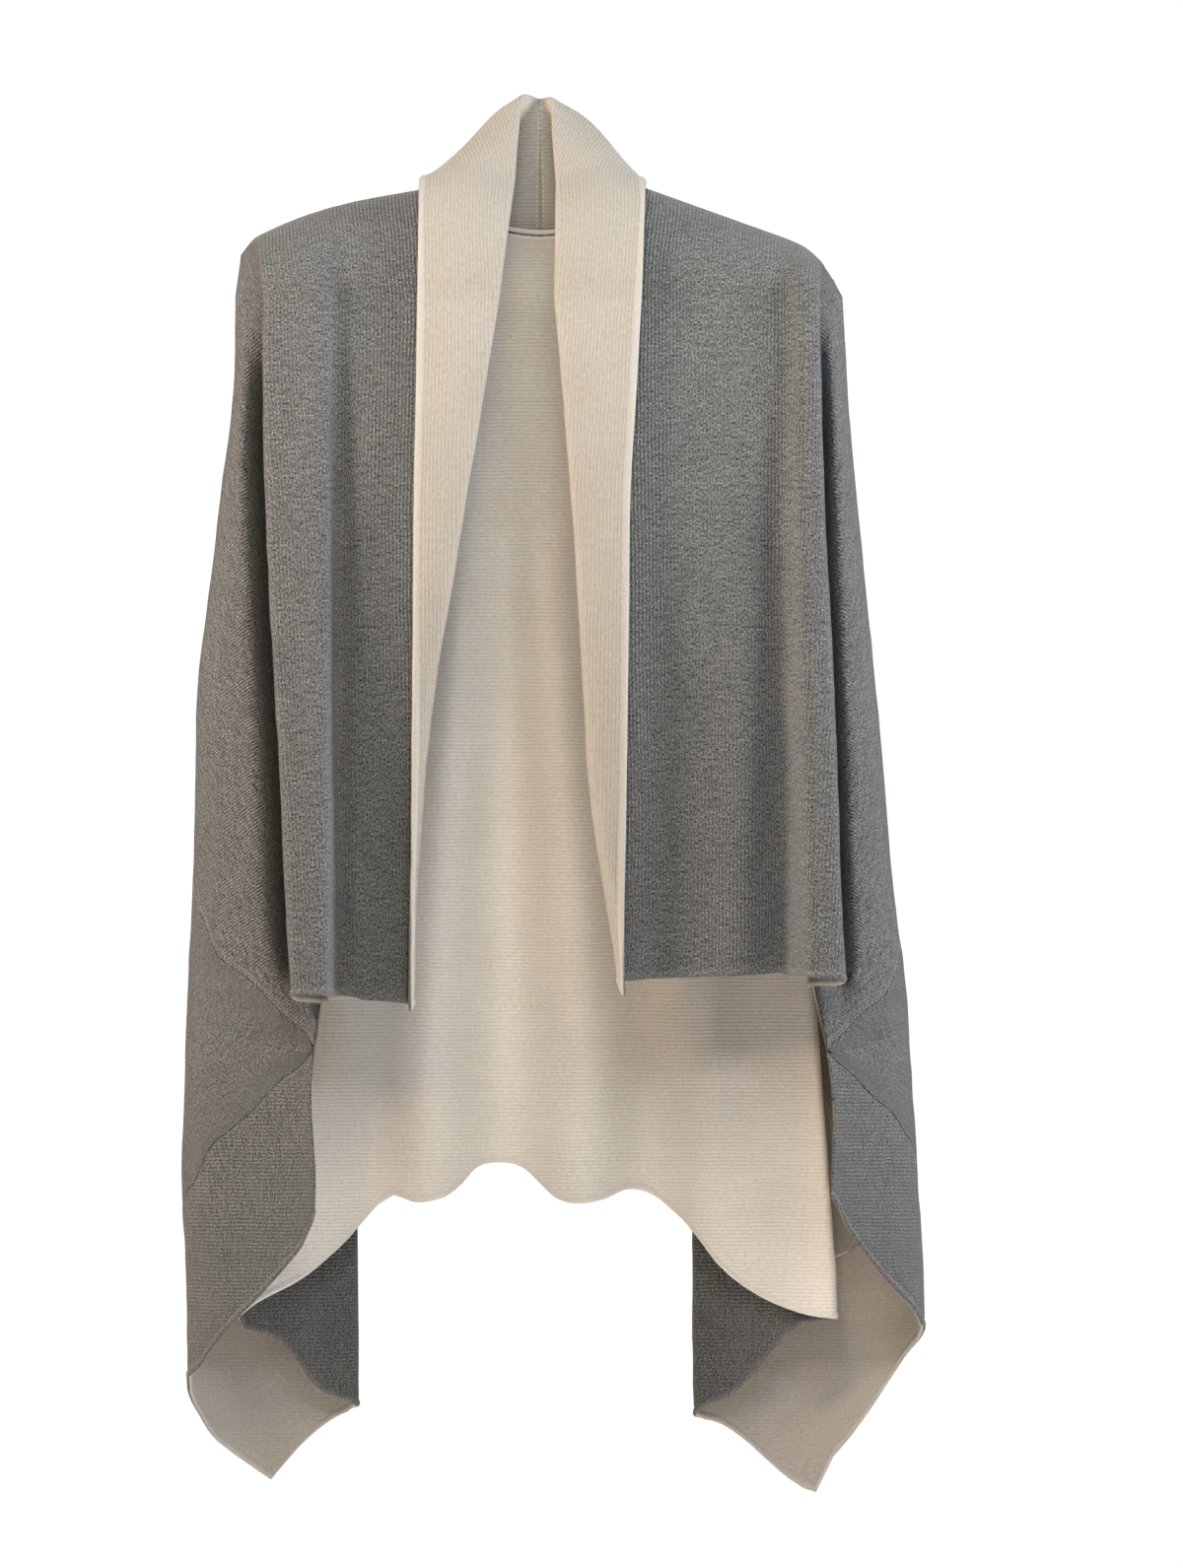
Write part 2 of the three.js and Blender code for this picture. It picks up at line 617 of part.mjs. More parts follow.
function backGrid() {
  const halves = {};
  ['right', 'left'].forEach((side) => {
    const half = [];
    for (let r = 0; r <= rows.cap + rows.upper + rows.tail; r += 1) {
      half.push([]);
    }
    for (let column = 0; column <= freeColumn; column += 1) {
      const split = backSplit(side, column);
      const edge = backEdge(side, column);
      if (column <= seamColumn) {
        for (let r = 0; r <= rows.cap; r += 1) {
          half[r][column] = capPoint(side, column, (r / rows.cap) * (Math.PI / 2));
        }
        for (let r = 1; r < rows.upper; r += 1) {
          half[rows.cap + r][column] = hangRow(side, column, chestHeight, split, r / rows.upper);
        }
      }
      for (let r = 0; r <= rows.tail; r += 1) {
        const row = rows.cap + rows.upper + r;
        half[row][column] = hangRow(side, column, split, edge, r / rows.tail);
      }
    }
    for (let column = 0; column <= seamColumn; column += 1) {
      const inset = column <= columnOf.blade + 1 ? neckInset : seamInset;
      drawBack(half[0][column], half[1][column], inset);
    }
    for (let r = 0; r < rows.cap + rows.upper; r += 1) {
      drawBack(half[r][seamColumn], half[r][seamColumn - 1], sideSeamInset);
    }
    for (let column = seamColumn + 1; column <= freeColumn; column += 1) {
      const row = rows.cap + rows.upper;
      drawBack(half[row][column], half[row + 1][column], seamInset);
    }
    halves[side] = half;
  });
  return halves.right.map((row, r) => {
    const right = [];
    const left = [];
    for (let column = 0; column <= freeColumn; column += 1) {
      right.unshift(row[column] && mirrored('right', row[column]));
      left.push(halves.left[r][column]);
    }
    return [...right, ...left.slice(1)];
  });
}

function frontGrid(side) {
  const grid = [];
  for (let r = 0; r < rows.collar; r += 1) {
    const part = 1 - r / rows.collar;
    const across = collarRow(side, part);
    const row = [];
    for (let column = seamColumn; column <= lastColumn; column += 1) {
      row.push(column >= neckColumn ? across[column - neckColumn] : undefined);
    }
    grid.push(row);
  }
  for (let r = 0; r <= rows.cap; r += 1) {
    const row = [];
    for (let column = seamColumn; column <= lastColumn; column += 1) {
      row.push(capPoint(side, column, (r / rows.cap) * (Math.PI / 2)));
    }
    grid.push(row);
  }
  for (let r = 1; r <= rows.front; r += 1) {
    const row = [];
    for (let column = seamColumn; column <= lastColumn; column += 1) {
      row.push(hangRow(side, column, chestHeight, frontEdge(side, column), r / rows.front));
    }
    grid.push(row);
  }
  const neck = neckColumn - seamColumn;
  const shoulder = rows.collar;
  for (let column = 0; column < neck; column += 1) {
    drawBack(grid[shoulder][column], grid[shoulder + 1][column], seamInset);
  }
  for (let r = 0; r <= shoulder; r += 1) {
    drawBack(grid[r][neck], grid[r][neck + 1], neckInset);
  }
  grid[0].forEach((point, column) => drawBack(point, grid[1][column], collarSeamInset));
  for (let r = shoulder + 1; r < grid.length; r += 1) {
    drawBack(grid[r][0], grid[r][1], sideSeamInset);
  }
  for (let column = 0; column <= freeColumn - seamColumn; column += 1) {
    drawBack(grid[grid.length - 1][column], grid[grid.length - 2][column], seamInset);
  }
  return grid.map((row) => row.map((point) => point && mirrored(side, point)));
}

function gussetGrid(side) {
  const grid = [];
  for (let r = 0; r <= rows.gusset; r += 1) {
    const row = [];
    for (let column = seamColumn; column <= freeColumn; column += 1) {
      const upper = spread(upperSeamHeights[side], seamStations, column);
      const lower = spread(lowerSeamHeights[side], seamStations, column);
      row.push(hangRow(side, column, upper, lower, r / rows.gusset));
    }
    grid.push(row);
  }
  const last = grid[0].length - 1;
  const tip = towards(grid[0][last], grid[0][last - 1], 3 * seamInset);
  grid.forEach((row) => {
    drawBack(row[0], row[1], sideSeamInset);
    row[last].copy(tip);
  });
  for (let column = 0; column < last; column += 1) {
    drawBack(grid[0][column], grid[1][column], seamInset);
    drawBack(grid[rows.gusset][column], grid[rows.gusset - 1][column], seamInset);
  }
  return grid.map((row) => row.map((point) => mirrored(side, point)));
}

const heatherKnit = new THREE.MeshStandardMaterial({
  color: '#8d8c8c',
  roughness: 0.95,
  metalness: 0,
});

function piece(name, grid) {
  const mesh = new THREE.Mesh(clothSolid(grid), heatherKnit);
  mesh.name = name;
  return mesh;
}

const cape = new THREE.Group();
cape.add(piece('back', backGrid()));
['right', 'left'].forEach((side) => {
  cape.add(piece(`front_${side}`, frontGrid(side)));
  cape.add(piece(`gusset_${side}`, gussetGrid(side)));
});

export default cape;
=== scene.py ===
from math import cos, pi, radians, sin

import bpy
import numpy as np
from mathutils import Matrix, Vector
from numpy.linalg import norm


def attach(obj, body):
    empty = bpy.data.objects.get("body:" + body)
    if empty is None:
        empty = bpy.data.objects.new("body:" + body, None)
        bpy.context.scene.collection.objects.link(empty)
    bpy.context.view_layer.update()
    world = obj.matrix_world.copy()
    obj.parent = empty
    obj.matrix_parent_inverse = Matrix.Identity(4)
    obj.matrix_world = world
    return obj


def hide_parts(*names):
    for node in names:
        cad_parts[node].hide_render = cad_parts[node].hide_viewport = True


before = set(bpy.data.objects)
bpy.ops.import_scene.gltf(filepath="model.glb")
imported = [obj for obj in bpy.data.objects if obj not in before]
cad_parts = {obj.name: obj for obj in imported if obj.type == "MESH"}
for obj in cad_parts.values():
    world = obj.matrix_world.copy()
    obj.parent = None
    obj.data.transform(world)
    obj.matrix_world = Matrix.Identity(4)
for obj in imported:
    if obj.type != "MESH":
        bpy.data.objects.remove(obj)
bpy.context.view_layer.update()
print("frame loaded")

# Open cape of double-faced knit, heather grey outside and cream inside, hanging as worn.
# The form is worked out in millimetres and turned to metres when a mesh is made.
# A section of the cloth at one height is a path with soft corners. It starts at the centre
# back, runs out to a fold, doubles back behind itself, turns out again to the side of the
# cape, comes forward, and ends at the edge of the lapel that is turned out over the front.
# Both halves are worked out with x outwards, and the right one is mirrored.

sides = ("right", "left")
signs = {"right": -1, "left": 1}
cloth = {"wall": 2.2, "seamInset": 0.3, "shoulderSeamDepth": 6, "chestHeight": -60.0,
         "napeAngle": 0.9, "centreWidth": 45, "capRows": 16}
# Small unevenness of hanging knit: broad and fine waves that fade out over the shoulder.
ripple = {"height": 0.9, "perStop": 32, "stretch": 0.45, "broad": 50, "broadSeed": 5,
          "fine": 17, "fineSeed": 6, "fineShare": 0.4, "above": 45, "fade": 60}
foldDepth = {"outer": 17, "inner": 17, "front": 17, "side": 15}
# How far back the folds behind the drape stand off higher up, where they are closed.
closedFold = {"outerX": 16, "outerY": -3, "innerX": 14, "innerY": -6}
# Where the tail lies between the inner fold and the side, and how far out the side stands.
tailShare = {"x": 0.54, "y": 0.42}
sideOut = 3
# Where the bend at the shoulder blade lies, between the centre back and the outer fold.
blade = {"share": 0.5, "out": 22, "depth": 0.22}
# How steeply the cloth leaves the shoulder at each corner of the lapel, in radians.
lapelAngles = {"pleatValley": 0, "neckLine": 0.05, "rollBack": 0.8, "rollFront": 0.8,
               "lapelMiddle": 0.55, "lapelEdge": 0.05}
lapelFold = {"wide": 12, "narrow": 6, "fullWidth": 30, "standProud": 8}

# Corner of the section path: how soft it is, its share of the coarse columns of the frame
# (turn, run), and the fine columns here (fineTurn, fineRun).
corners = [
    ("centre", 0, 1, 5, 1, 24),
    ("blade", 34, 1, 4, 6, 12),
    ("outerFoldFront", 12, 3, 0, 8, 1),
    ("outerFoldBack", 12, 3, 3, 8, 14),
    ("innerFoldFront", 12, 3, 0, 8, 1),
    ("innerFoldBack", 12, 3, 2, 8, 9),
    ("tail", 14, 1, 2, 6, 8),
    ("sideBack", 30, 4, 0, 12, 1),
    ("sideFront", 30, 4, 2, 12, 9),
    ("drapeEdgeBack", 8, 3, 0, 8, 4),
    ("drapeEdgeFront", 8, 3, 0, 8, 7),
    ("frontFoldBack", 8, 3, 0, 8, 2),
    ("frontFoldFront", 9, 3, 0, 8, 3),
    ("pleatCrest", 10, 2, 0, 6, 4),
    ("pleatValley", 10, 2, 2, 6, 14),
    ("neckLine", 16, 1, 2, 4, 12),
    ("rollBack", 6, 2, 0, 7, 1),
    ("rollFront", 6, 2, 1, 7, 6),
    ("lapelMiddle", 14, 3, 1, 8, 6),
    ("lapelEdge", 0, 1, 0, 1, 0),
]
cornerNames = [corner[0] for corner in corners]
place = {name: i for i, name in enumerate(cornerNames)}
softness = np.array([corner[1] for corner in corners], float)

# At each height, how far out the folds and edges lie.
widthColumns = ["z", "outerFold", "innerFold", "side", "drapeEdge", "frontFold", "valley",
                "roll", "lapelEdge"]
widths = {"right": [
    [-60, 95, 150, 213, 190, 195, 149, 30, 87],
    [-130, 105, 155, 215, 184, 195, 149, 41, 88],
    [-200, 118, 158, 223, 176, 193, 149, 53, 89.5],
    [-270, 135, 157, 231, 170, 190, 149, 64, 90],
    [-340, 155, 150, 239, 165, 186, 149, 75, 90.5],
    [-410, 175, 142, 241, 160, 182, 149, 83, 91],
    [-480, 190, 136, 243, 156, 179, 149, 88, 91.5],
    [-550, 199, 133, 247, 152, 175, 149, 89.5, 91.5],
    [-620, 205, 131, 249, 159, 175, 149, 89.5, 91.5],
    [-690, 210, 131, 251, 156, 175, 149, 89.5, 91.5],
    [-760, 214, 131, 247, 158, 175, 149, 89.5, 91.5],
    [-900, 216, 131, 246, 160, 175, 149, 89.5, 91.5],
], "left": [
    [-60, 95, 150, 211, 192, 197, 180, 11, 72],
    [-130, 105, 155, 215, 188, 198, 180, 17, 68],
    [-200, 118, 155, 220, 184, 200, 180, 22, 64],
    [-270, 135, 150, 227, 182, 203, 180, 27, 63],
    [-340, 155, 140, 234, 182, 206, 180, 31.5, 62],
    [-410, 172, 128, 241, 183, 209, 180, 36, 61],
    [-480, 185, 119, 247, 186, 211, 180, 46, 60],
    [-550, 194, 114, 256, 192, 215, 180, 56, 59],
    [-620, 199, 111, 260, 204, 215, 180, 57, 59],
    [-690, 204, 110, 264, 204, 215, 180, 57, 59],
    [-760, 209, 110, 268, 204, 215, 180, 57, 59],
    [-900, 214, 110, 271, 204, 215, 180, 57, 59],
]}
# At each height, how far back they lie, with the front below zero.
depthColumns = ["z", "centre", "outerFold", "innerFold", "sideBack", "sideFront", "drapeEdge",
                "frontFold", "valley", "panel"]
depths = [
    [-60, 66, 60, 46, 24, -6, -34, -52, -62, -58],
    [-130, 84, 76, 62, 38, -8, -46, -68, -80, -80],
    [-200, 90, 82, 70, 46, -6, -52, -78, -88, -90],
    [-270, 92, 80, 80, 52, -4, -55, -83, -88, -93],
    [-340, 94, 70, 92, 58, -2, -56, -86, -86, -91],
    [-410, 96, 60, 102, 63, 0, -57, -88, -82, -86],
    [-480, 98, 50, 110, 67, 2, -57, -90, -78, -81],
    [-550, 100, 44, 116, 71, 3, -56, -92, -75, -78],
    [-620, 103, 40, 121, 74, 4, -52, -92, -75, -78],
    [-760, 109, 36, 127, 79, 8, -44, -92, -75, -78],
    [-900, 112, 36, 130, 80, 10, -40, -92, -75, -78],
]
# The shoulder ridge: x and height.
ridges = {
    "right": [[70, 19], [86, 16], [120, 9], [152, 2], [184, -10], [202, -19], [212, -31]],
    "left": [[70, 17], [86, 10], [106, 2], [148, -14], [176, -20], [194, -30], [208, -49]],
}
# Where each corner from the outer fold to the valley of the pleat meets the ridge.
ridgePlaces = {
    "right": [120, 135, 165, 185, 200, 211, 212, 206, 204, 202, 200, 180, 149],
    "left": [120, 135, 165, 185, 196, 207, 208, 203, 201, 200, 198, 188, 176],
}
neckColumns = ["part", "x", "y", "z"]
neckSeam = [
    [0, 70, 6, 18],
    [0.25, 62, 25, 4],
    [0.5, 45, 38, -6],
    [0.75, 24, 46, -13],
    [1, 0, 48, -16],
]
collarColumns = ["part", "backX", "backY", "backZ", "frontX", "frontY", "frontZ",
                 "bendX", "bendY", "bendZ", "edgeX", "edgeY", "edgeZ"]
collars = {"right": [
    [0, 19, -4, 18, 19, -8, 27, 56, -9, 34, 86, -4, 24],
    [0.33, 17, 24, 50, 16, 22, 60, 47, 26, 54, 80, 32, 20],
    [0.67, 13, 44, 74, 12, 48, 84, 29, 56, 73, 52, 66, 10],
    [1, 0, 55, 76, 0, 62, 82, 0, 74, 67, 0, 76, 6],
], "left": [
    [0, 12, -4, 17, 12, -8, 26, 46, -9, 31, 75, -4, 23],
    [0.33, 10, 24, 49, 9, 22, 58, 44, 26, 55, 73, 32, 19],
    [0.67, 8, 44, 73, 8, 48, 81, 31, 57, 69, 51, 66, 10],
    [1, 0, 55, 76, 0, 62, 82, 0, 74, 67, 0, 76, 6],
]}
# Lower edge of the back up to the outer fold: x and height.
backHems = {
    "right": [[0, -691], [12, -680], [26, -676], [45, -679], [58, -693], [70, -701],
              [90, -704], [107, -699], [122, -713], [142, -735], [168, -757], [203, -776],
              [215, -786]],
    "left": [[0, -691], [11, -701], [25, -705], [45, -702], [62, -695], [80, -699],
             [104, -719], [129, -751], [155, -770], [187, -783], [213, -787]],
}
# Lower edge of the back past the outer fold: for each corner of the path, the offsets past it
# and the heights there. It turns sharply at the tip of the tail, in the middle of its turn.
tailEdges = {"right": {
    "outerFoldBack": [(0.25, -787), (0.62, -799), (0.73, -813), (0.81, -830), (0.91, -842)],
    "innerFoldFront": [(0.25, -849)],
    "innerFoldBack": [(0.25, -851), (0.5, -854), (0.71, -864), (0.9, -878)],
    "tail": [(0, -887), (0.25, -902), (0.5, -894), (1, -877)],
    "sideBack": [(0.1, -869), (0.25, -853), (0.5, -838)],
    "sideFront": [(0.25, -822), (0.45, -801), (0.59, -784), (0.73, -767), (0.9, -743),
                  (0.99, -728)],
    "drapeEdgeBack": [(0.0833, -712)],
}, "left": {
    "outerFoldBack": [(0.25, -787), (0.58, -789), (0.66, -797), (0.73, -811), (0.82, -830),
                      (0.91, -844)],
    "innerFoldFront": [(0.25, -855)],
    "innerFoldBack": [(0.25, -858), (0.56, -861), (0.73, -875), (0.82, -886)],
    "tail": [(0, -905), (0.25, -911), (0.5, -886), (0.65, -872), (0.89, -846)],
    "sideBack": [(0, -832), (0.16, -812), (0.38, -799), (0.5, -795)],
    "sideFront": [(0.12, -791), (0.24, -782), (0.43, -767), (0.67, -744), (0.88, -721),
                  (0.97, -706)],
    "drapeEdgeBack": [(0.0833, -700)],
}}
# Heights of the gusset's two seams at the inner fold, at the three corners, and at the free
# edge of the drape.
seamCorners = ["tail", "sideBack", "sideFront"]
upperSeamHeights = {"right": [-375, -425, -460, -502, -594],
                    "left": [-375, -430, -490, -545, -596]}
lowerSeamHeights = {"right": [-800, -758, -718, -688, -594],
                    "left": [-808, -752, -690, -652, -596]}
# Height of a front's hem at the drape's edge, the fold, the valley, the line of the neck, the
# roll of the lapel and its edge.
frontHemHeights = {"right": [-562, -556, -556, -560, -565, -567],
                   "left": [-550, -546, -540, -543, -549, -557]}
# Soft flutes in the back, full width low down and gathered towards the neck.
flutes = {"spacing": 106, "crestX": -77, "depth": 18, "start": -50, "full": -420,
          "reach": 150, "fade": 40, "past": 0.3, "gather": 0.48, "gatherX": -26,
          "gatherTop": -130, "gatherBottom": -690}
pleat = {"start": -240, "full": -470}
# The side drape drops back where it goes in behind the fold of the front.
tucks = {
    "right": {"depth": 62, "offset": 20, "width": 30},
    "left": {"depth": 50, "offset": 11, "width": 15},
}
tuckRange = {"top": -55, "full": -170, "bottom": -575, "fade": -500}
# Where the crest of the front pleat lies between the valley (0) and the fold (1).
crestShares = {"right": 0.1, "left": 0.35}
# Soft folds in the fronts: place across, reach to either side, how far they stand out, and
# the heights where they begin and are full.
frontFolds = {
    "right": [(100, 26, -9, -120, -450), (143, 11, -9, -40, -220)],
    "left": [(143, 22, 9, -200, -460), (168, 10, -4, -60, -260), (84, 18, -6, -120, -420)],
}


def smooth(t):
    s = np.clip(t, 0, 1)
    return s * s * (3 - 2 * s)


def mix(a, b, t):
    return a + (b - a) * t


# Grows from 0 to 1 as the height goes from start to full.
def grown(z, start, full):
    return smooth((start - z) / (start - full))


# Adds the mirror image of the row before the centre line, so that the curve crosses it level.
def runOn(table, columns):
    before, last = table[-2:]
    row = [-value if name.lower().endswith("x") else value
           for name, value in zip(columns, before)]
    row[0] = 2 * last[0] - before[0]
    return [*table, row]


neckRows = runOn(neckSeam, neckColumns)
collarRows = {side: runOn(collars[side], collarColumns) for side in sides}


# A smooth curve through a table's rows, read at many values of its first column.
def readTable(table, at, column=1):
    rows = np.array(sorted(table), float)
    keys, values = rows[:, 0], rows[:, column]
    last = len(keys) - 1
    spot = np.clip(at, keys[0], keys[-1])
    i = np.clip(np.searchsorted(keys, spot, side="left") - 1, 0, last - 1)
    before = np.maximum(i - 1, 0)
    after = np.minimum(i + 2, last)
    span = keys[i + 1] - keys[i]
    slopeFrom = (values[i + 1] - values[before]) / (keys[i + 1] - keys[before])
    slopeTo = (values[after] - values[i]) / (keys[after] - keys[i])
    t = (spot - keys[i]) / span
    t2, t3 = t * t, t * t * t
    return ((2 * t3 - 3 * t2 + 1) * values[i] + (t3 - 2 * t2 + t) * slopeFrom * span
            + (3 * t2 - 2 * t3) * values[i + 1] + (t3 - t2) * slopeTo * span)


def widthAt(side, name, z):
    return readTable(widths[side], z, widthColumns.index(name))


def depthAt(name, z):
    return readTable(depths, z, depthColumns.index(name))


# Places along the path are numbered: a corner's turn takes the first half of its unit and the
# run after it the second half. The frame's coarse columns are found from the same numbers.
midTurn = 0.25
runStart = 0.5
coarsePlaces = []
for number, corner in enumerate(corners):
    turn, run = corner[2:4]
    coarsePlaces += [number + 0.5 * (k + 0.5) / turn for k in range(turn)]
    coarsePlaces += [number + runStart + 0.5 * k / (run + 1) for k in range(1, run + 1)]
coarsePlaces = np.array(coarsePlaces)


def columnAt(stops):
    return np.interp(stops, coarsePlaces, np.arange(len(coarsePlaces)))


def columnOf(name):
    before = sum(corner[2] + corner[3] for corner in corners[:place[name]])
    return before + corners[place[name]][2] // 2


seamColumn = columnOf("innerFoldBack") + 2
freeColumn = columnOf("drapeEdgeBack") - 1
neckColumn = columnOf("neckLine")
seamStop, freeStop, neckStop = coarsePlaces[[seamColumn, freeColumn, neckColumn]]
# Places nearer to each other than this count as one.
samePlace = 0.001


# The fine columns between two places on the path.
def stopsBetween(first, last):
    stops = []
    for number, corner in enumerate(corners):
        soft, fineTurn, fineRun = corner[1], *corner[4:]
        if soft == 0:
            stops.append(number + midTurn)
        else:
            stops += [number + 0.5 * k / fineTurn for k in range(1, fineTurn + 1)]
        stops += [number + runStart + 0.5 * k / (fineRun + 1)
                  for k in range(1, fineRun + 1)]
    inside = [s for s in stops if first + 0.01 < s < last - 0.01]
    return np.array([first, *inside, last])


# The corners of the section at each height, for one side.
def sectionCorners(side, z):
    outerX, innerX, sideX, drapeX, foldX, valleyX, roll, lapel = [
        widthAt(side, name, z) for name in widthColumns[1:]]
    centreY, outerY, innerY, backY, frontY, drapeY, foldY, valleyY, panelY = [
        depthAt(name, z) for name in depthColumns[1:]]
    opened = grown(z, pleat["start"], pleat["full"])
    turned = smooth(np.abs(lapel - roll) / lapelFold["fullWidth"])
    proud = mix(lapelFold["standProud"], 0, turned)
    lapelY = panelY - mix(lapelFold["narrow"], lapelFold["wide"], turned)
    foldFrontY = foldY - foldDepth["front"]
    points = {
        "centre": (0 * z, centreY),
        "blade": (outerX * blade["share"] + blade["out"],
                  mix(centreY, outerY, blade["depth"])),
        "outerFoldFront": (outerX, outerY),
        "outerFoldBack": (outerX + mix(closedFold["outerX"], 0, opened),
                          outerY + mix(closedFold["outerY"], foldDepth["outer"], opened)),
        "innerFoldFront": (innerX, innerY),
        "innerFoldBack": (innerX + mix(closedFold["innerX"], 0, opened),
                          innerY + mix(closedFold["innerY"], foldDepth["inner"], opened)),
        "tail": (mix(innerX, sideX, tailShare["x"]), mix(innerY, backY, tailShare["y"])
                 + mix(0, foldDepth["inner"], opened)),
        "sideBack": (sideX + sideOut, backY),
        "sideFront": (sideX + sideOut, frontY),
        "drapeEdgeBack": (drapeX, drapeY),
        "drapeEdgeFront": (drapeX - 1, drapeY - foldDepth["side"]),
        "frontFoldBack": (foldX, foldY),
        "frontFoldFront": (foldX + 1, foldFrontY),
        "pleatCrest": (mix(valleyX, foldX, crestShares[side]), foldFrontY - 4),
        "pleatValley": (valleyX - 5, valleyY),
        "neckLine": (mix(valleyX, roll, 0.6), panelY - 2),
        "rollBack": (roll, panelY),
        "rollFront": (roll, lapelY),
        "lapelMiddle": (mix(roll, lapel, 0.5), lapelY - proud / 2 - 3 * turned),
        "lapelEdge": (lapel, lapelY - proud),
    }
    return np.stack([np.stack([*points[name], z], -1) for name in cornerNames], -2)


def neckPoint(part):
    return np.stack([readTable(neckRows, part, neckColumns.index(axis)) for axis in "xyz"], -1)


def collarPoint(side, name, part):
    return np.stack([readTable(collarRows[side], part, collarColumns.index(name + axis))
                     for axis in "XYZ"], -1)


# Which lengthways line of the collar goes on from each corner of the lapel.
collarLines = {"rollBack": "back", "rollFront": "front", "lapelMiddle": "bend",
               "lapelEdge": "edge"}


# The corners of the path where the cloth meets the shoulder ridge or the neck seam.
def ridgeCorners(side):
    shoulder, nape = np.float64(0), np.float64(1)
    points = {"centre": neckPoint(nape), "blade": neckPoint(shoulder),
              "neckLine": neckPoint(shoulder)}
    for name, line in collarLines.items():
        points[name] = collarPoint(side, line, shoulder)
    for name, x in zip(cornerNames[place["outerFoldFront"]:], ridgePlaces[side]):
        z = readTable(ridges[side], np.float64(x))
        points[name] = np.array([x, cloth["shoulderSeamDepth"], z], float)
    return np.stack([points[name] for name in cornerNames])


# Points at the given places of paths whose corners are rounded by a quadratic curve.
# points is rows x columns x corners x 3, and stops holds one place for each column. A soft
# corner takes up no more than cornerShare of the shorter straight beside it.
cornerShare = 0.42


def walk(points, stops, softs):
    count = points.shape[-2]
    length = norm(np.diff(points, axis=-2), axis=-1)
    reach = np.zeros(points.shape[:-1])
    shorter = np.minimum(length[..., :-1], length[..., 1:])
    reach[..., 1:-1] = np.minimum(cornerShare * shorter, softs[1:-1])
    number = np.clip(np.floor(stops).astype(int), 0, count - 1)
    part = stops - number
    columns = np.arange(len(stops))

    def pick(values, step):
        return values[:, columns, np.clip(number + step, 0, values.shape[2] - 1)]

    here, before, after = pick(points, 0), pick(points, -1), pick(points, 1)
    reachHere = pick(reach, 0)[..., None]
    reachNext = pick(reach, 1)[..., None]
    toBefore = np.maximum(norm(before - here, axis=-1), 1e-6)[..., None]
    toAfter = np.maximum(norm(after - here, axis=-1), 1e-6)[..., None]
    enter = here + (before - here) * reachHere / toBefore
    leave = here + (after - here) * reachHere / toAfter
    arrive = after + (here - after) * reachNext / toAfter
    t = np.clip(part / 0.5, 0, 1)[:, None]
    turnPoint = (1 - t) ** 2 * enter + 2 * t * (1 - t) * here + t * t * leave
    t = np.clip((part - runStart) / 0.5, 0, 1)[:, None]
    runPoint = leave + (arrive - leave) * t
    return np.where((part < runStart)[:, None], turnPoint, runPoint)


# Where along the path the soft folds of the front panel begin.
panelFrom = {"start": place["pleatCrest"] + 0.3, "fade": 0.6}


# The cloth below the chest: the path at each height, then the soft forms that lie on it.
def section(side, stops, z):
    points = walk(sectionCorners(side, z), stops, softness)
    x = points[..., 0]
    middle = (stops < place["blade"]) & (x < cloth["centreWidth"])
    slope = ((depthAt("outerFold", z) - depthAt("centre", z)) * blade["depth"]
             / (widthAt(side, "outerFold", z) * blade["share"] + blade["out"]))
    bow = slope * (x - cloth["centreWidth"]) ** 2 / (2 * cloth["centreWidth"])
    depth = points[..., 1] + np.where(middle, bow, 0)

    gathered = grown(z, flutes["gatherTop"], flutes["gatherBottom"])
    share = mix(flutes["gather"], 1, gathered)
    swell = grown(z, flutes["start"], flutes["full"]) * share
    across = (signs[side] * x - flutes["gatherX"]) / share
    phase = 2 * pi * (across + flutes["gatherX"] - flutes["crestX"]) / flutes["spacing"]
    fade = smooth((flutes["reach"] - x) / flutes["fade"])
    inner = stops <= place["outerFoldFront"] + flutes["past"]
    depth = depth - np.where(inner, flutes["depth"] * swell * fade * np.cos(phase), 0)

    tuck = tucks[side]
    foldX = widthAt(side, "frontFold", z)
    tucked = smooth((foldX + tuck["offset"] - x) / tuck["width"])
    tucked = tucked * grown(z, tuckRange["top"], tuckRange["full"])
    tucked = tucked * grown(z, tuckRange["bottom"], tuckRange["fade"])
    behind = (stops > place["sideFront"]) & (stops < place["frontFoldBack"])
    ends = smooth((place["frontFoldBack"] - stops) / 0.5)
    depth = depth + np.where(behind, tuck["depth"] * tucked * ends, 0)

    onPanel = smooth((stops - panelFrom["start"]) / panelFrom["fade"])
    onPanel = onPanel * (stops < place["rollBack"])
    for crestX, reach, out, start, full in frontFolds[side]:
        near = np.exp(-((x - crestX) / reach) ** 2)
        depth = depth - out * grown(z, start, full) * near * onPanel
    return np.stack([x, depth, points[..., 2]], -1)


def ridgeLine(side, stops):
    coarse = ridgeCorners(side)[None, None].repeat(len(stops), 1)
    softs = softness.copy()
    softs[[place["blade"], place["neckLine"]]] = 0
    line = walk(coarse, stops, softs)[0]
    share = columnAt(stops) / columnOf("blade")
    onNeck = share < 1
    line[onNeck] = neckPoint(1 - share[onNeck])
    return line


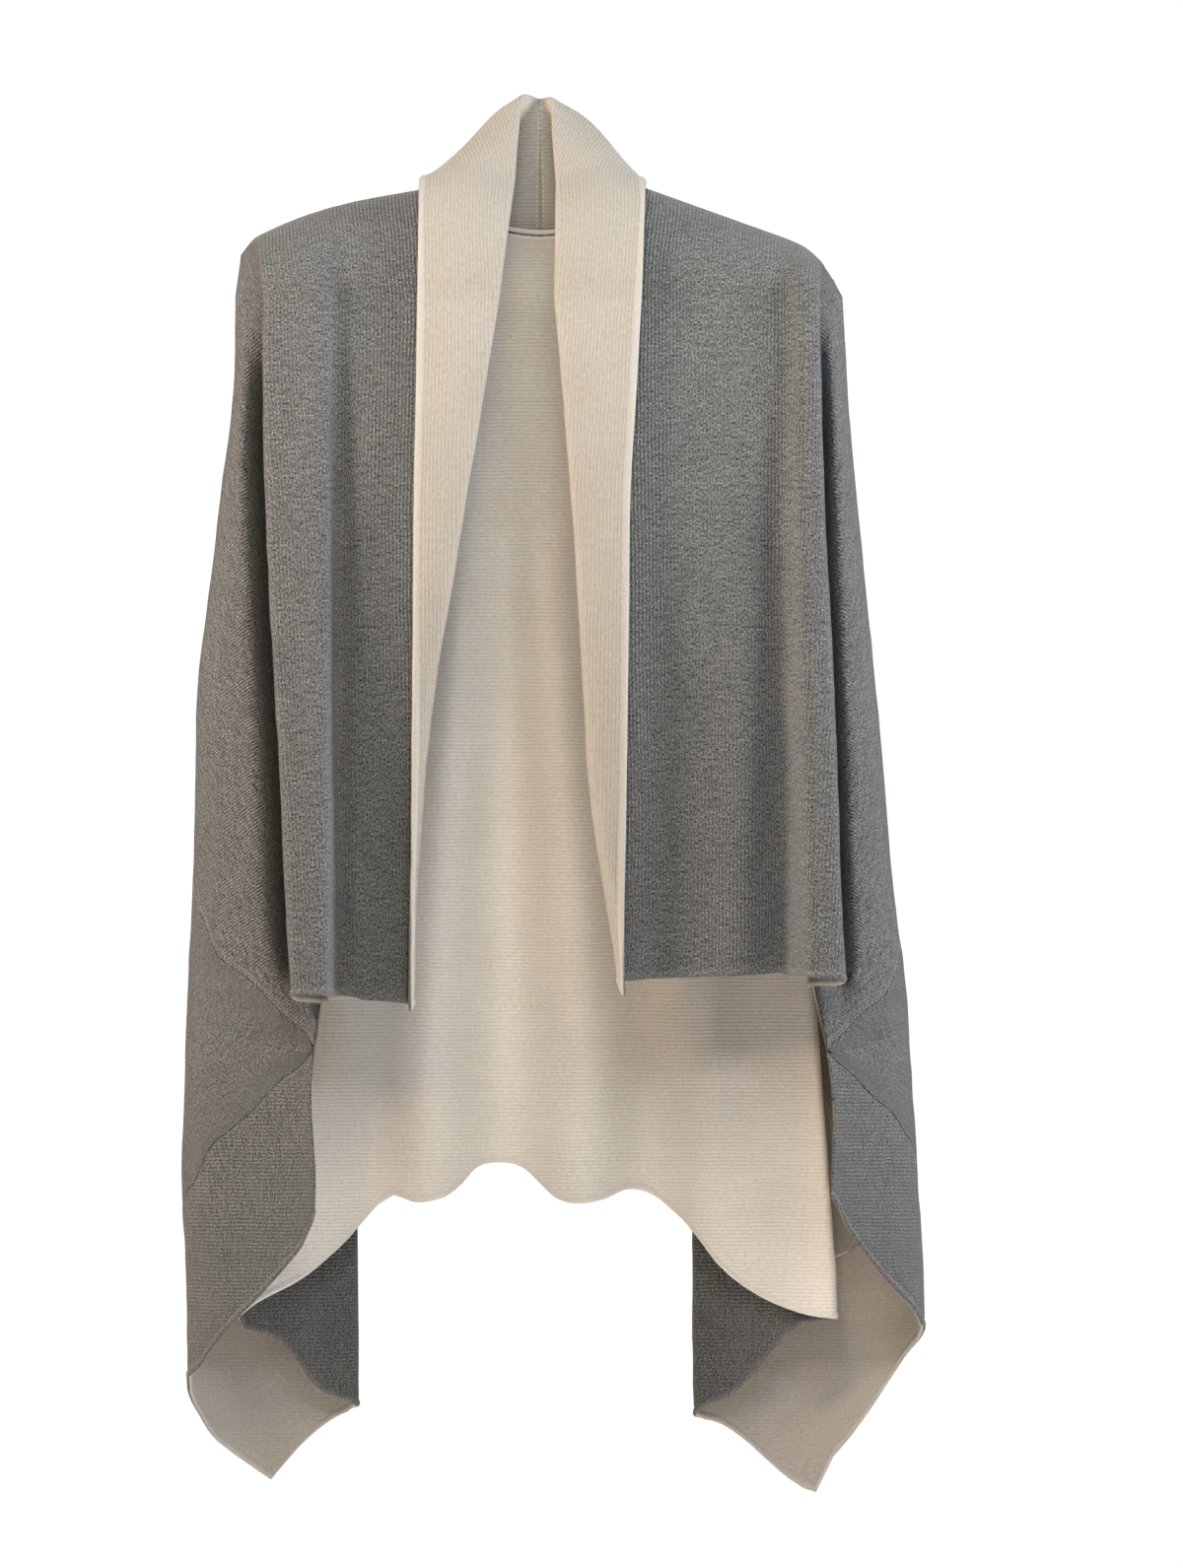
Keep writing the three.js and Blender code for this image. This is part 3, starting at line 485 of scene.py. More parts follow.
# The cloth above the chest, as it curves over the shoulder: angle 0 is the seam.
def shoulderCap(side, stops):
    angles = np.linspace(0, pi / 2, cloth["capRows"] + 1)[:, None]
    top = ridgeLine(side, stops)[None]
    chest = section(side, stops, np.full((1, len(stops)), cloth["chestHeight"]))
    start = cloth["napeAngle"] * smooth(1 - columnAt(stops) / columnOf("outerFoldFront"))
    start = start + np.interp(stops, [place[name] + midTurn for name in lapelAngles],
                              list(lapelAngles.values()))
    turned = mix(start, pi / 2, angles / (pi / 2))
    drop = 1 - np.cos(turned) / np.cos(start)
    out = (np.sin(turned) - np.sin(start)) / (1 - np.sin(start))
    return np.stack([
        mix(top[..., 0], chest[..., 0], drop),
        mix(top[..., 1], chest[..., 1], out),
        mix(top[..., 2], cloth["chestHeight"], drop),
    ], -1)


seamStations = [seamColumn, *[columnOf(name) for name in seamCorners], freeColumn]
frontStations = [columnOf("drapeEdgeFront"), columnOf("frontFoldFront"),
                 columnOf("pleatValley"), neckColumn, columnOf("rollFront"),
                 len(coarsePlaces) - 1]


def tailEdge(side, stops):
    tip = place["tail"] + midTurn
    rows = [(place[name] + offset, z) for name, spots in tailEdges[side].items()
            for offset, z in spots]
    before = readTable([row for row in rows if row[0] <= tip], stops)
    after = readTable([row for row in rows if row[0] >= tip], stops)
    return np.where(stops < tip, before, after)


# The hem is stated over x, and x depends on the height, so the two are found in turns.
def backEdge(side, stops):
    z = np.full((1, len(stops)), float(backHems[side][0][1]))
    for _ in range(6):
        x = section(side, stops, z)[..., 0]
        z = readTable(backHems[side], x)
    pastFold = stops >= place["outerFoldBack"] + midTurn
    return np.where(pastFold, tailEdge(side, stops), z[0])


# The row of the back that runs on from the lower seam of the gusset.
def backSplit(side, stops):
    column = columnAt(stops)
    seam = np.interp(column, seamStations, lowerSeamHeights[side])
    atSeam = lowerSeamHeights[side][0]
    chest = cloth["chestHeight"]
    edgeAtSeam = backEdge(side, np.array([seamStop]))[0]
    share = (atSeam - chest) / (edgeAtSeam - chest)
    return np.where(column >= seamColumn, seam, mix(chest, backEdge(side, stops), share))


def frontEdge(side, stops):
    column = columnAt(stops)
    return np.where(column <= freeColumn,
                    np.interp(column, seamStations, upperSeamHeights[side]),
                    np.interp(column, frontStations, frontHemHeights[side]))


# Distances from a finished edge at which the cloth gets a row of its own, and the half
# thickness there: a rolled edge about 5 mm wide with a slight groove behind it.
edgeRows = np.array([0, 0.5, 1.3, 2.4, 3.5, 4.6, 5.6, 6.8, 8.5])
edgeHalf = [0.3, 0.95, 1.5, 1.8, 1.65, 1.25, 0.9, 0.9, 1.1]
# Beside a seam the cloth is drawn in to a shallow groove.
seamRows = np.array([0, 0.5, 1.3, 2.4])
seamHalf = np.array([0.35, 0.75, 1.0, 1.1])
# The distance given to cloth with no finished edge near it.
noEdge = 99.0


# Soft, even noise on a plane, from a seeded grid of random heights.
def softNoise(u, v, cell, seed):
    count = 64
    grid = np.random.default_rng(seed).uniform(-1, 1, (count, count))
    x, y = u / cell, v / cell
    i, j = np.floor(x).astype(int), np.floor(y).astype(int)
    s, t = smooth(x - i), smooth(y - j)
    i, j, iNext, jNext = i % count, j % count, (i + 1) % count, (j + 1) % count
    a = grid[i, j] * (1 - s) + grid[iNext, j] * s
    b = grid[i, jNext] * (1 - s) + grid[iNext, jNext] * s
    return a * (1 - t) + b * t


trims = (slice(0, -1), slice(1, None))
cellCorners = [(rows, columns) for rows in trims for columns in trims]


# The cells of a grid whose four corners are all cloth.
def fullCells(mask):
    return np.logical_and.reduce([mask[corner] for corner in cellCorners])


# Normals on the grey side of the cloth: across is along a row, down is along a column.
def greyNormals(points, mask):
    total = np.zeros(points.shape)
    a, b, d, c = [points[corner] for corner in cellCorners]
    normal = np.cross(c - a, d - b) * fullCells(mask)[..., None]
    for corner in cellCorners:
        total[corner] += normal
    return total / np.maximum(norm(total, axis=-1, keepdims=True), 1e-9)


def addObject(name, data):
    added = bpy.data.objects.new(name, data)
    bpy.context.scene.collection.objects.link(added)
    return added


def smoothShade(mesh):
    mesh.polygons.foreach_set("use_smooth", np.ones(len(mesh.polygons), bool))


# A closed wall of knit round a grid of points; sign is -1 where they are mirrored. Material 0
# is the grey face, 1 the cream face, and 2 the cream face in the columns marked plain. grains
# holds the grain of the cloth from each of the given columns on, to change it at a fold.
def knitMesh(name, points, mask, half, grains, edgeFar, sign, plain=None):
    normals = greyNormals(points, mask) * sign
    cell = fullCells(mask)
    used = np.zeros(mask.shape, bool)
    for corner in cellCorners:
        used[corner] |= cell
    count = int(used.sum())
    index = np.full(mask.shape, -1)
    index[used] = np.arange(count)
    grey = (points + normals * half[..., None])[used]
    cream = (points - normals * half[..., None])[used]
    vertices = np.concatenate([grey, cream]) / 1000
    r, c = np.nonzero(cell)
    quad = np.stack([index[r, c + 1], index[r + 1, c + 1], index[r + 1, c], index[r, c]], 1)
    if sign < 0:
        quad = quad[:, ::-1]
    edges = np.concatenate([quad[:, [k, (k + 1) % 4]] for k in range(4)])
    forward = edges[:, 0] * count + edges[:, 1]
    backward = edges[:, 1] * count + edges[:, 0]
    border = edges[~np.isin(forward, backward)]
    rim = np.stack([border[:, 1], border[:, 0], border[:, 0] + count, border[:, 1] + count], 1)
    faces = np.concatenate([quad, quad[:, ::-1] + count, rim])
    creamKind = np.ones(len(quad), int) if plain is None else np.where(plain[c], 2, 1)
    mesh = bpy.data.meshes.new(name)
    mesh.from_pydata(vertices.tolist(), [], faces.tolist())
    mesh.polygons.foreach_set("material_index", np.concatenate([
        np.zeros(len(quad), int), creamKind, np.zeros(len(rim), int)]))
    smoothShade(mesh)
    loops = np.empty(len(mesh.loops), int)
    mesh.loops.foreach_get("vertex_index", loops)
    vertexColumn = np.nonzero(used)[1]
    faceColumn = np.concatenate([c, c, vertexColumn[border].min(1)])
    loopColumn = np.repeat(faceColumn, 4)
    flat = np.zeros((len(loops), 2))
    for first, grain in grains.items():
        later = loopColumn >= first
        flat[later] = grain[used][loops[later] % count] / 1000
    mesh.uv_layers.new(name="grain").data.foreach_set("uv", flat.ravel())
    near = mesh.attributes.new("edgeDistance", "FLOAT", "POINT")
    near.data.foreach_set("value", np.tile(edgeFar[used], 2))
    mesh.update()
    print(name, len(quad) * 4 + len(rim) * 2, "triangles")
    return addObject(name, mesh)


# Pushes the cloth out and in along its own normal, softly and unevenly. The push is worked
# out from the place on the path and the height, so that sewn pieces move together.
def unevenCloth(points, mask, stops, side):
    u = (stops - coarsePlaces[0]) * ripple["perStop"] * signs[side]
    v = points[..., 2]
    broad = softNoise(u, v * ripple["stretch"], ripple["broad"], ripple["broadSeed"])
    fine = softNoise(u, v, ripple["fine"], ripple["fineSeed"])
    shift = ripple["height"] * (broad + ripple["fineShare"] * fine)
    shift = shift * smooth((cloth["chestHeight"] + ripple["above"] - v) / ripple["fade"])
    return points + greyNormals(points, mask) * shift[..., None]


# Height on the cloth: level below the chest, and the length over the shoulder above it.
def drop(points, chestRow):
    step = norm(np.diff(points, axis=0), axis=-1)
    over = np.cumsum(step[:chestRow][::-1], 0)[::-1]
    return np.concatenate([-cloth["chestHeight"] - over, -points[chestRow:, :, 2]])


# Length along each row of the cloth.
def along(points):
    step = norm(np.diff(points, axis=1), axis=-1)
    return np.concatenate([np.zeros((len(step), 1)), np.cumsum(step, 1)], 1)


# The grain of cloth that hangs on the bias, turned by an angle in degrees.
def biasGrain(across, down, angle):
    turn = radians(angle)
    return np.stack([across * cos(turn) + down * sin(turn),
                     down * cos(turn) - across * sin(turn)], -1)


def colour(text):
    parts = [int(text[i:i + 2], 16) / 255 for i in (1, 3, 5)]
    linear = [v / 12.92 if v <= 0.04045 else ((v + 0.055) / 1.055) ** 2.4 for v in parts]
    return (*linear, 1)


# A function that adds a node to a tree and returns one of its outputs, if it has any.
def nodeAdder(tree):
    def add(kind, inputs=None, settings=None, output=0):
        node = tree.nodes.new(kind)
        for name, value in (settings or {}).items():
            setattr(node, name, value)
        for name, value in (inputs or {}).items():
            if isinstance(value, bpy.types.NodeSocket):
                tree.links.new(value, node.inputs[name])
            else:
                node.inputs[name].default_value = value
        return node.outputs[output] if node.outputs else None

    return add


# Clears the nodes of a material or a world, and returns a function that adds new ones.
def freshNodes(owner):
    owner.use_nodes = True
    owner.node_tree.nodes.clear()
    return nodeAdder(owner.node_tree)


# Double jersey, one face heather, the other cream: matt, slightly hairy wool and cotton.
# Its wales are 2 mm apart; they are drawn at ribSpacing so that they still show.
def knitMaterial(name, look):
    material = bpy.data.materials.new(name)
    add = freshNodes(material)

    def limited(value, low, high, most):
        return add("ShaderNodeMapRange", {
            "Value": value, "From Min": low, "From Max": high, "To Min": 0,
            "To Max": most}, {"clamp": True})

    def noise(vector, scale, detail, extra={}):
        return add("ShaderNodeTexNoise", {
            "Vector": vector, "Scale": scale, "Detail": detail, **extra})

    def stretched(width, length):
        return add("ShaderNodeMapping", {"Vector": grain, "Scale": (1 / width, 1 / length, 1)})

    def work(operation, *values):
        return add("ShaderNodeMath", dict(enumerate(values)), {"operation": operation})

    def blend(kind, amount, base, tint):
        return add("ShaderNodeMix", {0: amount, 6: base, 7: colour(look[tint])},
                   {"data_type": "RGBA", "blend_type": kind}, 2)

    grain = add("ShaderNodeUVMap", {}, {"uv_map": "grain"})
    edge = add("ShaderNodeAttribute", {}, {"attribute_name": "edgeDistance"}, "Fac")
    inner = limited(edge, *look["hemBand"], 1)
    drift = noise(grain, 1 / look["driftSize"], 1)
    level = add("ShaderNodeSeparateXYZ", {"Vector": grain})
    wobbly = work("MULTIPLY_ADD", drift, look["wobble"], level)
    wave = work("SINE", work("MULTIPLY", wobbly, 2 * pi / look["ribSpacing"]))
    rib = work("MULTIPLY", wave, inner)
    fleck = noise(stretched(look["fleckWidth"], look["fleckLength"]), 1, 3,
                  {"Roughness": 0.65})
    cloud = noise(grain, 1 / look["cloudSize"], 2)
    streak = noise(stretched(look["streakWidth"], look["streakHeight"]), 1, 2,
                   {"Distortion": 0.8})
    shade = blend("MIX", limited(fleck, *look["fleckRange"], 1), colour(look["dark"]), "light")
    shade = blend("MULTIPLY", cloud, shade, "cloudTint")
    streaks = limited(streak, *look["streakRange"], look["streak"])
    shade = blend("MULTIPLY", streaks, shade, "streakTint")
    # The furrows between the wales are darkened: painted shade in the grooves of the knit.
    furrowShades = limited(rib, *look["furrowRange"], look["furrow"])
    shade = blend("MULTIPLY", furrowShades, shade, "furrowShadeTint")
    shade = blend("MIX", limited(inner, 1, 0, look["band"]), shade, "bandColour")
    height = work("MULTIPLY_ADD", fleck, look["fleckHeight"], rib)
    bump = add("ShaderNodeBump", {
        "Height": height, "Strength": look["bump"], "Distance": look["bumpDepth"]})
    shader = add("ShaderNodeBsdfPrincipled", {
        "Base Color": shade, "Normal": bump, "Roughness": 0.95,
        "Specular IOR Level": 0.15, "Sheen Weight": 0.15, "Sheen Roughness": 0.5})
    add("ShaderNodeOutputMaterial", {"Surface": shader})
    return material


# Sizes are in metres, except hemBand, which is in millimetres from a finished edge.
knitLook = {
    "ribSpacing": 0.0026, "driftSize": 0.05, "streakWidth": 0.009, "streakHeight": 0.0026,
    "hemBand": (3.5, 6.5), "fleckRange": (0.35, 0.65), "streakRange": (0.4, 0.75),
    "furrowRange": (-0.2, -1), "streakTint": "#707070", "bumpDepth": 0.0005,
}
# The heather face: dark grey and pale fibres in small flecks, with faint darker streaks.
heatherLook = {
    **knitLook,
    "dark": "#202121", "light": "#9f9f9b", "cloudTint": "#e6e6e8", "furrowShadeTint": "#8f8f93",
    "furrow": 0.2, "wobble": 0.003, "fleckWidth": 0.001, "fleckLength": 0.0017,
    "cloudSize": 0.04, "fleckHeight": 2.2, "streak": 0.45, "bump": 0.6,
    "band": 0.1, "bandColour": "#8a8987",
}
# The cream face as it shows on the lapels and the collar: even, with fine wales.
creamLook = {
    **knitLook,
    "dark": "#aaa397", "light": "#b9b3a8", "cloudTint": "#f1efec", "furrowShadeTint": "#c8bdab",
    "furrow": 0.34, "wobble": 0.002, "fleckWidth": 0.0016, "fleckLength": 0.004,
    "cloudSize": 0.05, "fleckHeight": 0.8, "streak": 0.03, "bump": 0.25,
    "band": 0.35, "bandColour": "#cfcbc1",
}
# The cream face of the back shows its courses, and is painted far lighter than the same
# cream elsewhere: painted light for the inside of the back.
creamBackPaintedLightLook = {**creamLook, "dark": "#eee7da", "light": "#fdfaf3", "furrow": 0.4,
                 "bump": 0.18}
# Its underside at the tails is smoother, and darker because it has none of that painted light.
creamTailLook = {**creamLook, "dark": "#b3aca1", "light": "#c9c3b9", "furrow": 0.08,
                 "bump": 0.12}
heatherKnit = knitMaterial("heatherKnit", heatherLook)
creamKnit = knitMaterial("creamKnit", creamLook)
creamBackPaintedLightKnit = knitMaterial("creamBackPaintedLightKnit", creamBackPaintedLightLook)
creamTailKnit = knitMaterial("creamTailKnit", creamTailLook)


# A material of one colour all over.
def plainMaterial(name, tone, roughness, specular):
    material = bpy.data.materials.new(name)
    add = freshNodes(material)
    shader = add("ShaderNodeBsdfPrincipled", {
        "Base Color": colour(tone), "Roughness": roughness, "Specular IOR Level": specular})
    add("ShaderNodeOutputMaterial", {"Surface": shader})
    return material


# Sewing thread: light grey cotton, dull.
sewingThread = plainMaterial("sewingThread", "#9d9a94", 0.8, 0.2)
# The same thread in cream, for the inside of the collar.
creamThread = plainMaterial("creamThread", "#ded7ca", 0.8, 0.2)
# Narrow cream tape sewn over the neck seam.
bandCloth = plainMaterial("bandCloth", "#dcd6ca", 0.8, 0.2)
# Matt off-white paper under the cape.
palePaper = plainMaterial("palePaper", "#f4f3f0", 0.9, 0.5)
print("materials made")


def halfThickness(edgeFar):
    return np.interp(edgeFar, edgeRows, edgeHalf)


# Heights of rows that run evenly from start down to a finished edge, and of the edge's own.
def rowsToEdge(start, edge, count):
    share = np.linspace(0, 1, count + 1)[:, None]
    return np.concatenate([mix(start, edge + edgeRows[-1], share),
                           edge + edgeRows[-2::-1, None]])


backPiece = {"upperRows": 80, "tailRows": 40}


# One half of the back. Below the split it is wider, by the cloth that forms the cascade.
def backHalf(side):
    stops = stopsBetween(coarsePlaces[0], freeStop)
    edge = backEdge(side, stops)
    split = backSplit(side, stops)
    cap = shoulderCap(side, stops)
    share = np.linspace(0, 1, backPiece["upperRows"] + 1)[1:-1, None]
    upperZ = mix(cloth["chestHeight"], split, share)
    grooveZ = split - seamRows[:-1, None]
    tailZ = rowsToEdge(split - seamRows[-1], edge, backPiece["tailRows"])
    hang = section(side, stops, np.concatenate([upperZ, grooveZ, tailZ]))
    points = np.concatenate([cap, hang])
    mask = np.ones(points.shape[:2], bool)
    bodyRows = len(cap) + len(upperZ)
    mask[:bodyRows, stops > seamStop + samePlace] = False
    points = unevenCloth(points, mask, stops, side)
    edgeFar = np.full(points.shape[:2], noEdge)
    edgeFar[-len(edgeRows):] = edgeRows[::-1, None]
    half = halfThickness(edgeFar)
    half[bodyRows:bodyRows + len(seamRows), stops > seamStop - samePlace] = seamHalf[:, None]
    return points, mask, edgeFar, half, stops


def buildBack():
    right, left = backHalf("right"), backHalf("left")
    right = (right[0] * (signs["right"], 1, 1), *right[1:])
    points, mask, edgeFar, half = [np.concatenate([a[:, ::-1], b[:, 1:]], 1)
                                   for a, b in zip(right[:4], left[:4])]
    middle = len(right[4]) - 1
    across = along(points)
    across -= across[:, middle:middle + 1]
    grain = np.stack([drop(points, cloth["capRows"]), across], -1)
    pastFold = [part[4][1:] > place["innerFoldFront"] for part in (right, left)]
    plain = np.concatenate([pastFold[0][::-1], pastFold[1]])
    return knitMesh("backCloth", points, mask, half, {0: grain}, edgeFar, 1, plain)


backCloth = buildBack()

# The collar's stand takes the run past the neck seam; its stitches end on the roll. The grain
# of the drape is a bias, and that of the lapel is counted from its edge.
frontPiece = {"collarRows": 34, "hangRows": 96, "standRun": 1.5, "stitchEnd": 1.2,
              "bias": 48, "lapelGrain": 400}
# Two rows of stitches above the seam of the side drape, counted in rows of the cloth from its
# edge, and one row on each half of the collar beside its centre back seam.
stitch = {"seamRows": [-4, -6], "collarRow": 1, "sink": -0.1, "pitch": 3.4, "length": 2.5,
          "thickness": 0.6, "seed": 4}
# The flat band that covers the neck seam inside, and how far up the stand it lies.
band = {"width": 3.4, "thick": 1.5, "up": 2.4, "lift": 0.3, "sides": 10}


# The tree that lays stitches along lines of points.
def stitchTree():
    tree = bpy.data.node_groups.new("stitchRow", "GeometryNodeTree")

    def socket(name, kind, way="INPUT"):
        return tree.interface.new_socket(name=name, in_out=way,
                                         socket_type="NodeSocket" + kind).identifier

    socket("Geometry", "Geometry")
    socket("Geometry", "Geometry", "OUTPUT")
    kinds = {"pitch": "Float", "length": "Float", "thickness": "Float", "seed": "Int",
             "thread": "Material"}
    keys = {name: socket(name, kind) for name, kind in kinds.items()}
    add = nodeAdder(tree)
    given = tree.nodes.new("NodeGroupInput").outputs
    line = add("GeometryNodeMeshToCurve", {"Mesh": given["Geometry"]})
    even = add("GeometryNodeResampleCurve", {
        "Curve": line, "Length": given["pitch"]}, {"mode": "LENGTH"})
    bead = add("GeometryNodeMeshUVSphere", {"Segments": 6, "Rings": 4, "Radius": 0.5})
    size = add("ShaderNodeCombineXYZ", {
        "X": given["thickness"], "Y": given["thickness"], "Z": given["length"]})
    uneven = add("FunctionNodeRandomValue", {
        2: 0.85, 3: 1.1, "Seed": given["seed"]}, {"data_type": "FLOAT"}, 1)
    sized = add("ShaderNodeVectorMath", {0: size, "Scale": uneven}, {"operation": "SCALE"})
    turned = add("FunctionNodeAlignRotationToVector", {
        "Vector": add("GeometryNodeInputTangent")}, {"axis": "Z"})
    placed = add("GeometryNodeInstanceOnPoints", {
        "Points": even, "Instance": bead, "Rotation": turned, "Scale": sized})
    real = add("GeometryNodeRealizeInstances", {"Geometry": placed})
    dressed = add("GeometryNodeSetMaterial", {"Geometry": real, "Material": given["thread"]})
    add("NodeGroupOutput", {"Geometry": dressed})
    return tree, keys


stitchNodes, stitchKeys = stitchTree()


def sewStitches(name, lines, thread):
    edges, first = [], 0
    for line in lines:
        edges += [(i, i + 1) for i in range(first, first + len(line) - 1)]
        first += len(line)
    mesh = bpy.data.meshes.new(name + "Line")
    mesh.from_pydata((np.concatenate(lines) / 1000).tolist(), edges, [])
    sewn = addObject(name, mesh)
    rule = sewn.modifiers.new("stitches", "NODES")
    rule.node_group = stitchNodes
    for key in ("pitch", "length", "thickness"):
        rule[stitchKeys[key]] = stitch[key] / 1000
    rule[stitchKeys["seed"]] = stitch["seed"]
    rule[stitchKeys["thread"]] = thread
    bpy.context.view_layer.update()
    seen = sewn.evaluated_get(bpy.context.evaluated_depsgraph_get())
    plain = bpy.data.meshes.new_from_object(seen)
    sewn.modifiers.remove(rule)
    sewn.data = plain
    bpy.data.meshes.remove(mesh)
    smoothShade(plain)
    print(name, len(plain.polygons), "faces")
    return sewn


# The collar above the neck seam, from the centre back to the shoulder. Returns its points and
# how many of its columns carry the stitches.
def buildCollar(side, stops, parts):
    stops = stops[stops > neckStop - samePlace] - place["neckLine"]
    onStand = stops < 1
    stops[onStand] = runStart + (stops[onStand] - stops[0]) / frontPiece["standRun"]
    lines = [collarPoint(side, line, parts) for line in collarLines.values()]
    coarse = np.stack([neckPoint(parts), *lines], 1)[:, None].repeat(len(stops), 1)
    points = walk(coarse, stops, softness[place["neckLine"]:])
    return points, int((stops < frontPiece["stitchEnd"]).sum())


def buildFront(side):
    stops = stopsBetween(seamStop, place["lapelEdge"] + midTurn)
    edge = frontEdge(side, stops)
    cap = shoulderCap(side, stops)
    isHem = columnAt(stops) > freeColumn
    hangZ = rowsToEdge(cloth["chestHeight"], edge, frontPiece["hangRows"])[1:]
    hang = section(side, stops, hangZ)
    parts = np.linspace(1, 0, frontPiece["collarRows"] + 1)[:-1]
    collar, stitchColumns = buildCollar(side, stops, parts)
    before = len(stops) - collar.shape[1]
    blank = np.zeros((len(parts), before, 3))
    points = np.concatenate([np.concatenate([blank, collar], 1), cap, hang])
    mask = np.ones(points.shape[:2], bool)
    mask[:len(parts), :before] = False
    hemFar = np.full(points.shape[:2], noEdge)
    hemFar[-len(edgeRows):, isHem] = edgeRows[::-1, None]
    fromEdge = along(points[:, ::-1])[:, ::-1]
    edgeFar = np.minimum(hemFar, fromEdge)
    half = halfThickness(edgeFar)
    half[-len(seamRows):, ~isHem] = seamHalf[::-1, None]
    across = along(points)
    valley = int(np.argmin(np.abs(stops - place["pleatValley"] - midTurn)))
    panelAcross = across - across[:, valley:valley + 1]
    down = drop(points, len(parts) + cloth["capRows"])
    grains = {
        0: biasGrain(across, down, frontPiece["bias"]),
        int(np.argmax(stops > place["frontFoldBack"])): np.stack([panelAcross, down], -1),
        int(np.argmax(stops > place["rollBack"])): np.stack(
            [frontPiece["lapelGrain"] - fromEdge, down], -1),
    }
    sign = signs[side]
    points = unevenCloth(points, mask, stops, side) * (sign, 1, 1)
    finished = knitMesh("front" + side.capitalize(), points, mask, half, grains, edgeFar, sign)
    out = greyNormals(points, mask) * sign
    outer = points + out * (half + stitch["sink"])[..., None]
    inner = points - out * half[..., None]
    seamColumns = slice(2, int(np.argmax(isHem)))
    rise = points[:len(parts), before + 2] - points[:len(parts), before]
    rise = rise / norm(rise, axis=-1, keepdims=True)
    faceOut = -out[:len(parts), before + 1]
    overSeam = points[:len(parts), before] + rise * band["up"]
    return {
        "cloth": finished,
        "seamLines": [outer[row, seamColumns] for row in stitch["seamRows"]],
        "collarLine": inner[stitch["collarRow"], before:before + stitchColumns],
        "band": overSeam + faceOut * (cloth["wall"] / 2 + band["lift"]),
        "rise": rise,
        "faceOut": faceOut,
    }


sewnFronts = {side: buildFront(side) for side in sides}
fronts = {side: sewnFronts[side]["cloth"] for side in sides}


# The neck band, and the line along its middle for the stitches.
def buildBand():
    right, left = sewnFronts["right"], sewnFronts["left"]
    line, rise, faceOut = [np.concatenate([right[key][::-1], left[key][1:]])
                           for key in ("band", "rise", "faceOut")]
    turns = np.linspace(0, 2 * pi, band["sides"], endpoint=False)
    wide = (np.cos(turns) * band["width"] / 2)[None, :, None]
    thick = (np.sin(turns) * band["thick"] / 2)[None, :, None]
    rings = line[:, None] + rise[:, None] * wide + faceOut[:, None] * thick
    count, around = rings.shape[:2]
    faces = [list(range(around)), [(count - 1) * around + k for k in range(around)][::-1]]
    for start in range(0, (count - 1) * around, around):
        for k in range(around):
            a, b = start + k, start + (k + 1) % around
            faces.append([b, a, a + around, b + around])
    mesh = bpy.data.meshes.new("neckBand")
    mesh.from_pydata((rings.reshape(-1, 3) / 1000).tolist(), [], faces)
    smoothShade(mesh)
    mesh.materials.append(bandCloth)
    return addObject("neckBand", mesh), line + faceOut * band["thick"] / 2


neckBand, bandLine = buildBand()
seamStitches = {side: sewStitches("stitches" + side.capitalize(),
                                  sewnFronts[side]["seamLines"], sewingThread)
                for side in sides}
collarStitches = sewStitches("collarStitches", [
    *[sewnFronts[side]["collarLine"] for side in sides], bandLine], creamThread)

gussetPiece = {"rows": 60, "bias": -45}


# The wedge between the front and the back, with a grooved seam above and below.
def buildGusset(side):
    stops = stopsBetween(seamStop, freeStop)
    column = columnAt(stops)
    upper = np.interp(column, seamStations, upperSeamHeights[side]) - cloth["seamInset"]
    lower = np.interp(column, seamStations, lowerSeamHeights[side]) + cloth["seamInset"]
    share = np.linspace(0, 1, gussetPiece["rows"] + 1)[:, None]
    near = seamRows[:-1, None]
    z = np.concatenate([upper - near, mix(upper - seamRows[-1], lower + seamRows[-1], share),
                        lower + near[::-1]])
    points = section(side, stops, z)
    mask = np.ones(points.shape[:2], bool)
    mask[:, -1] = False
    points = unevenCloth(points, mask, stops, side)
    half = np.full(mask.shape, cloth["wall"] / 2)
    half[:len(seamRows)] = seamHalf[:, None]
    half[-len(seamRows):] = seamHalf[::-1, None]
    grain = biasGrain(along(points), -points[..., 2], gussetPiece["bias"])
    sign = signs[side]
    return knitMesh("gusset" + side.capitalize(), points * (sign, 1, 1), mask, half,
                    {0: grain}, np.full(mask.shape, noEdge), sign)


gussets = {side: buildGusset(side) for side in sides}
print("cloth made")

knitPieces = [backCloth, *fronts.values(), *gussets.values()]
for piece in knitPieces:
    # The back's cream is the copy with painted light; the other pieces take the plain cream.
    cream = creamBackPaintedLightKnit if piece == backCloth else creamKnit
    for knit in (heatherKnit, cream, creamTailKnit):
        piece.data.materials.append(knit)
for piece in (*knitPieces, neckBand, collarStitches, *seamStitches.values()):
    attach(piece, "root")
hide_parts("back")
for side in sides:
    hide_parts("front_" + side)
    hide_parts("gusset_" + side)

# The floor is given by its radius, height and number of sides.
studio = {"floor": (9, -1.45, 96), "eye": (0.0364, -30.0, -0.406), "viewWidth": 0.84,
          "filmWidth": 36, "aimHeight": -0.3, "seenWorld": 1.05, "litWorld": 0.01}


def buildFloor():
    mesh = bpy.data.meshes.new("floor")
    radius, height, count = studio["floor"]
    ring = [(radius * cos(a), radius * sin(a), height)
            for a in np.linspace(0, 2 * pi, count, endpoint=False)]
    mesh.from_pydata(ring, [], [list(range(count))])
    mesh.materials.append(palePaper)
    return addObject("floor", mesh)


buildFloor()

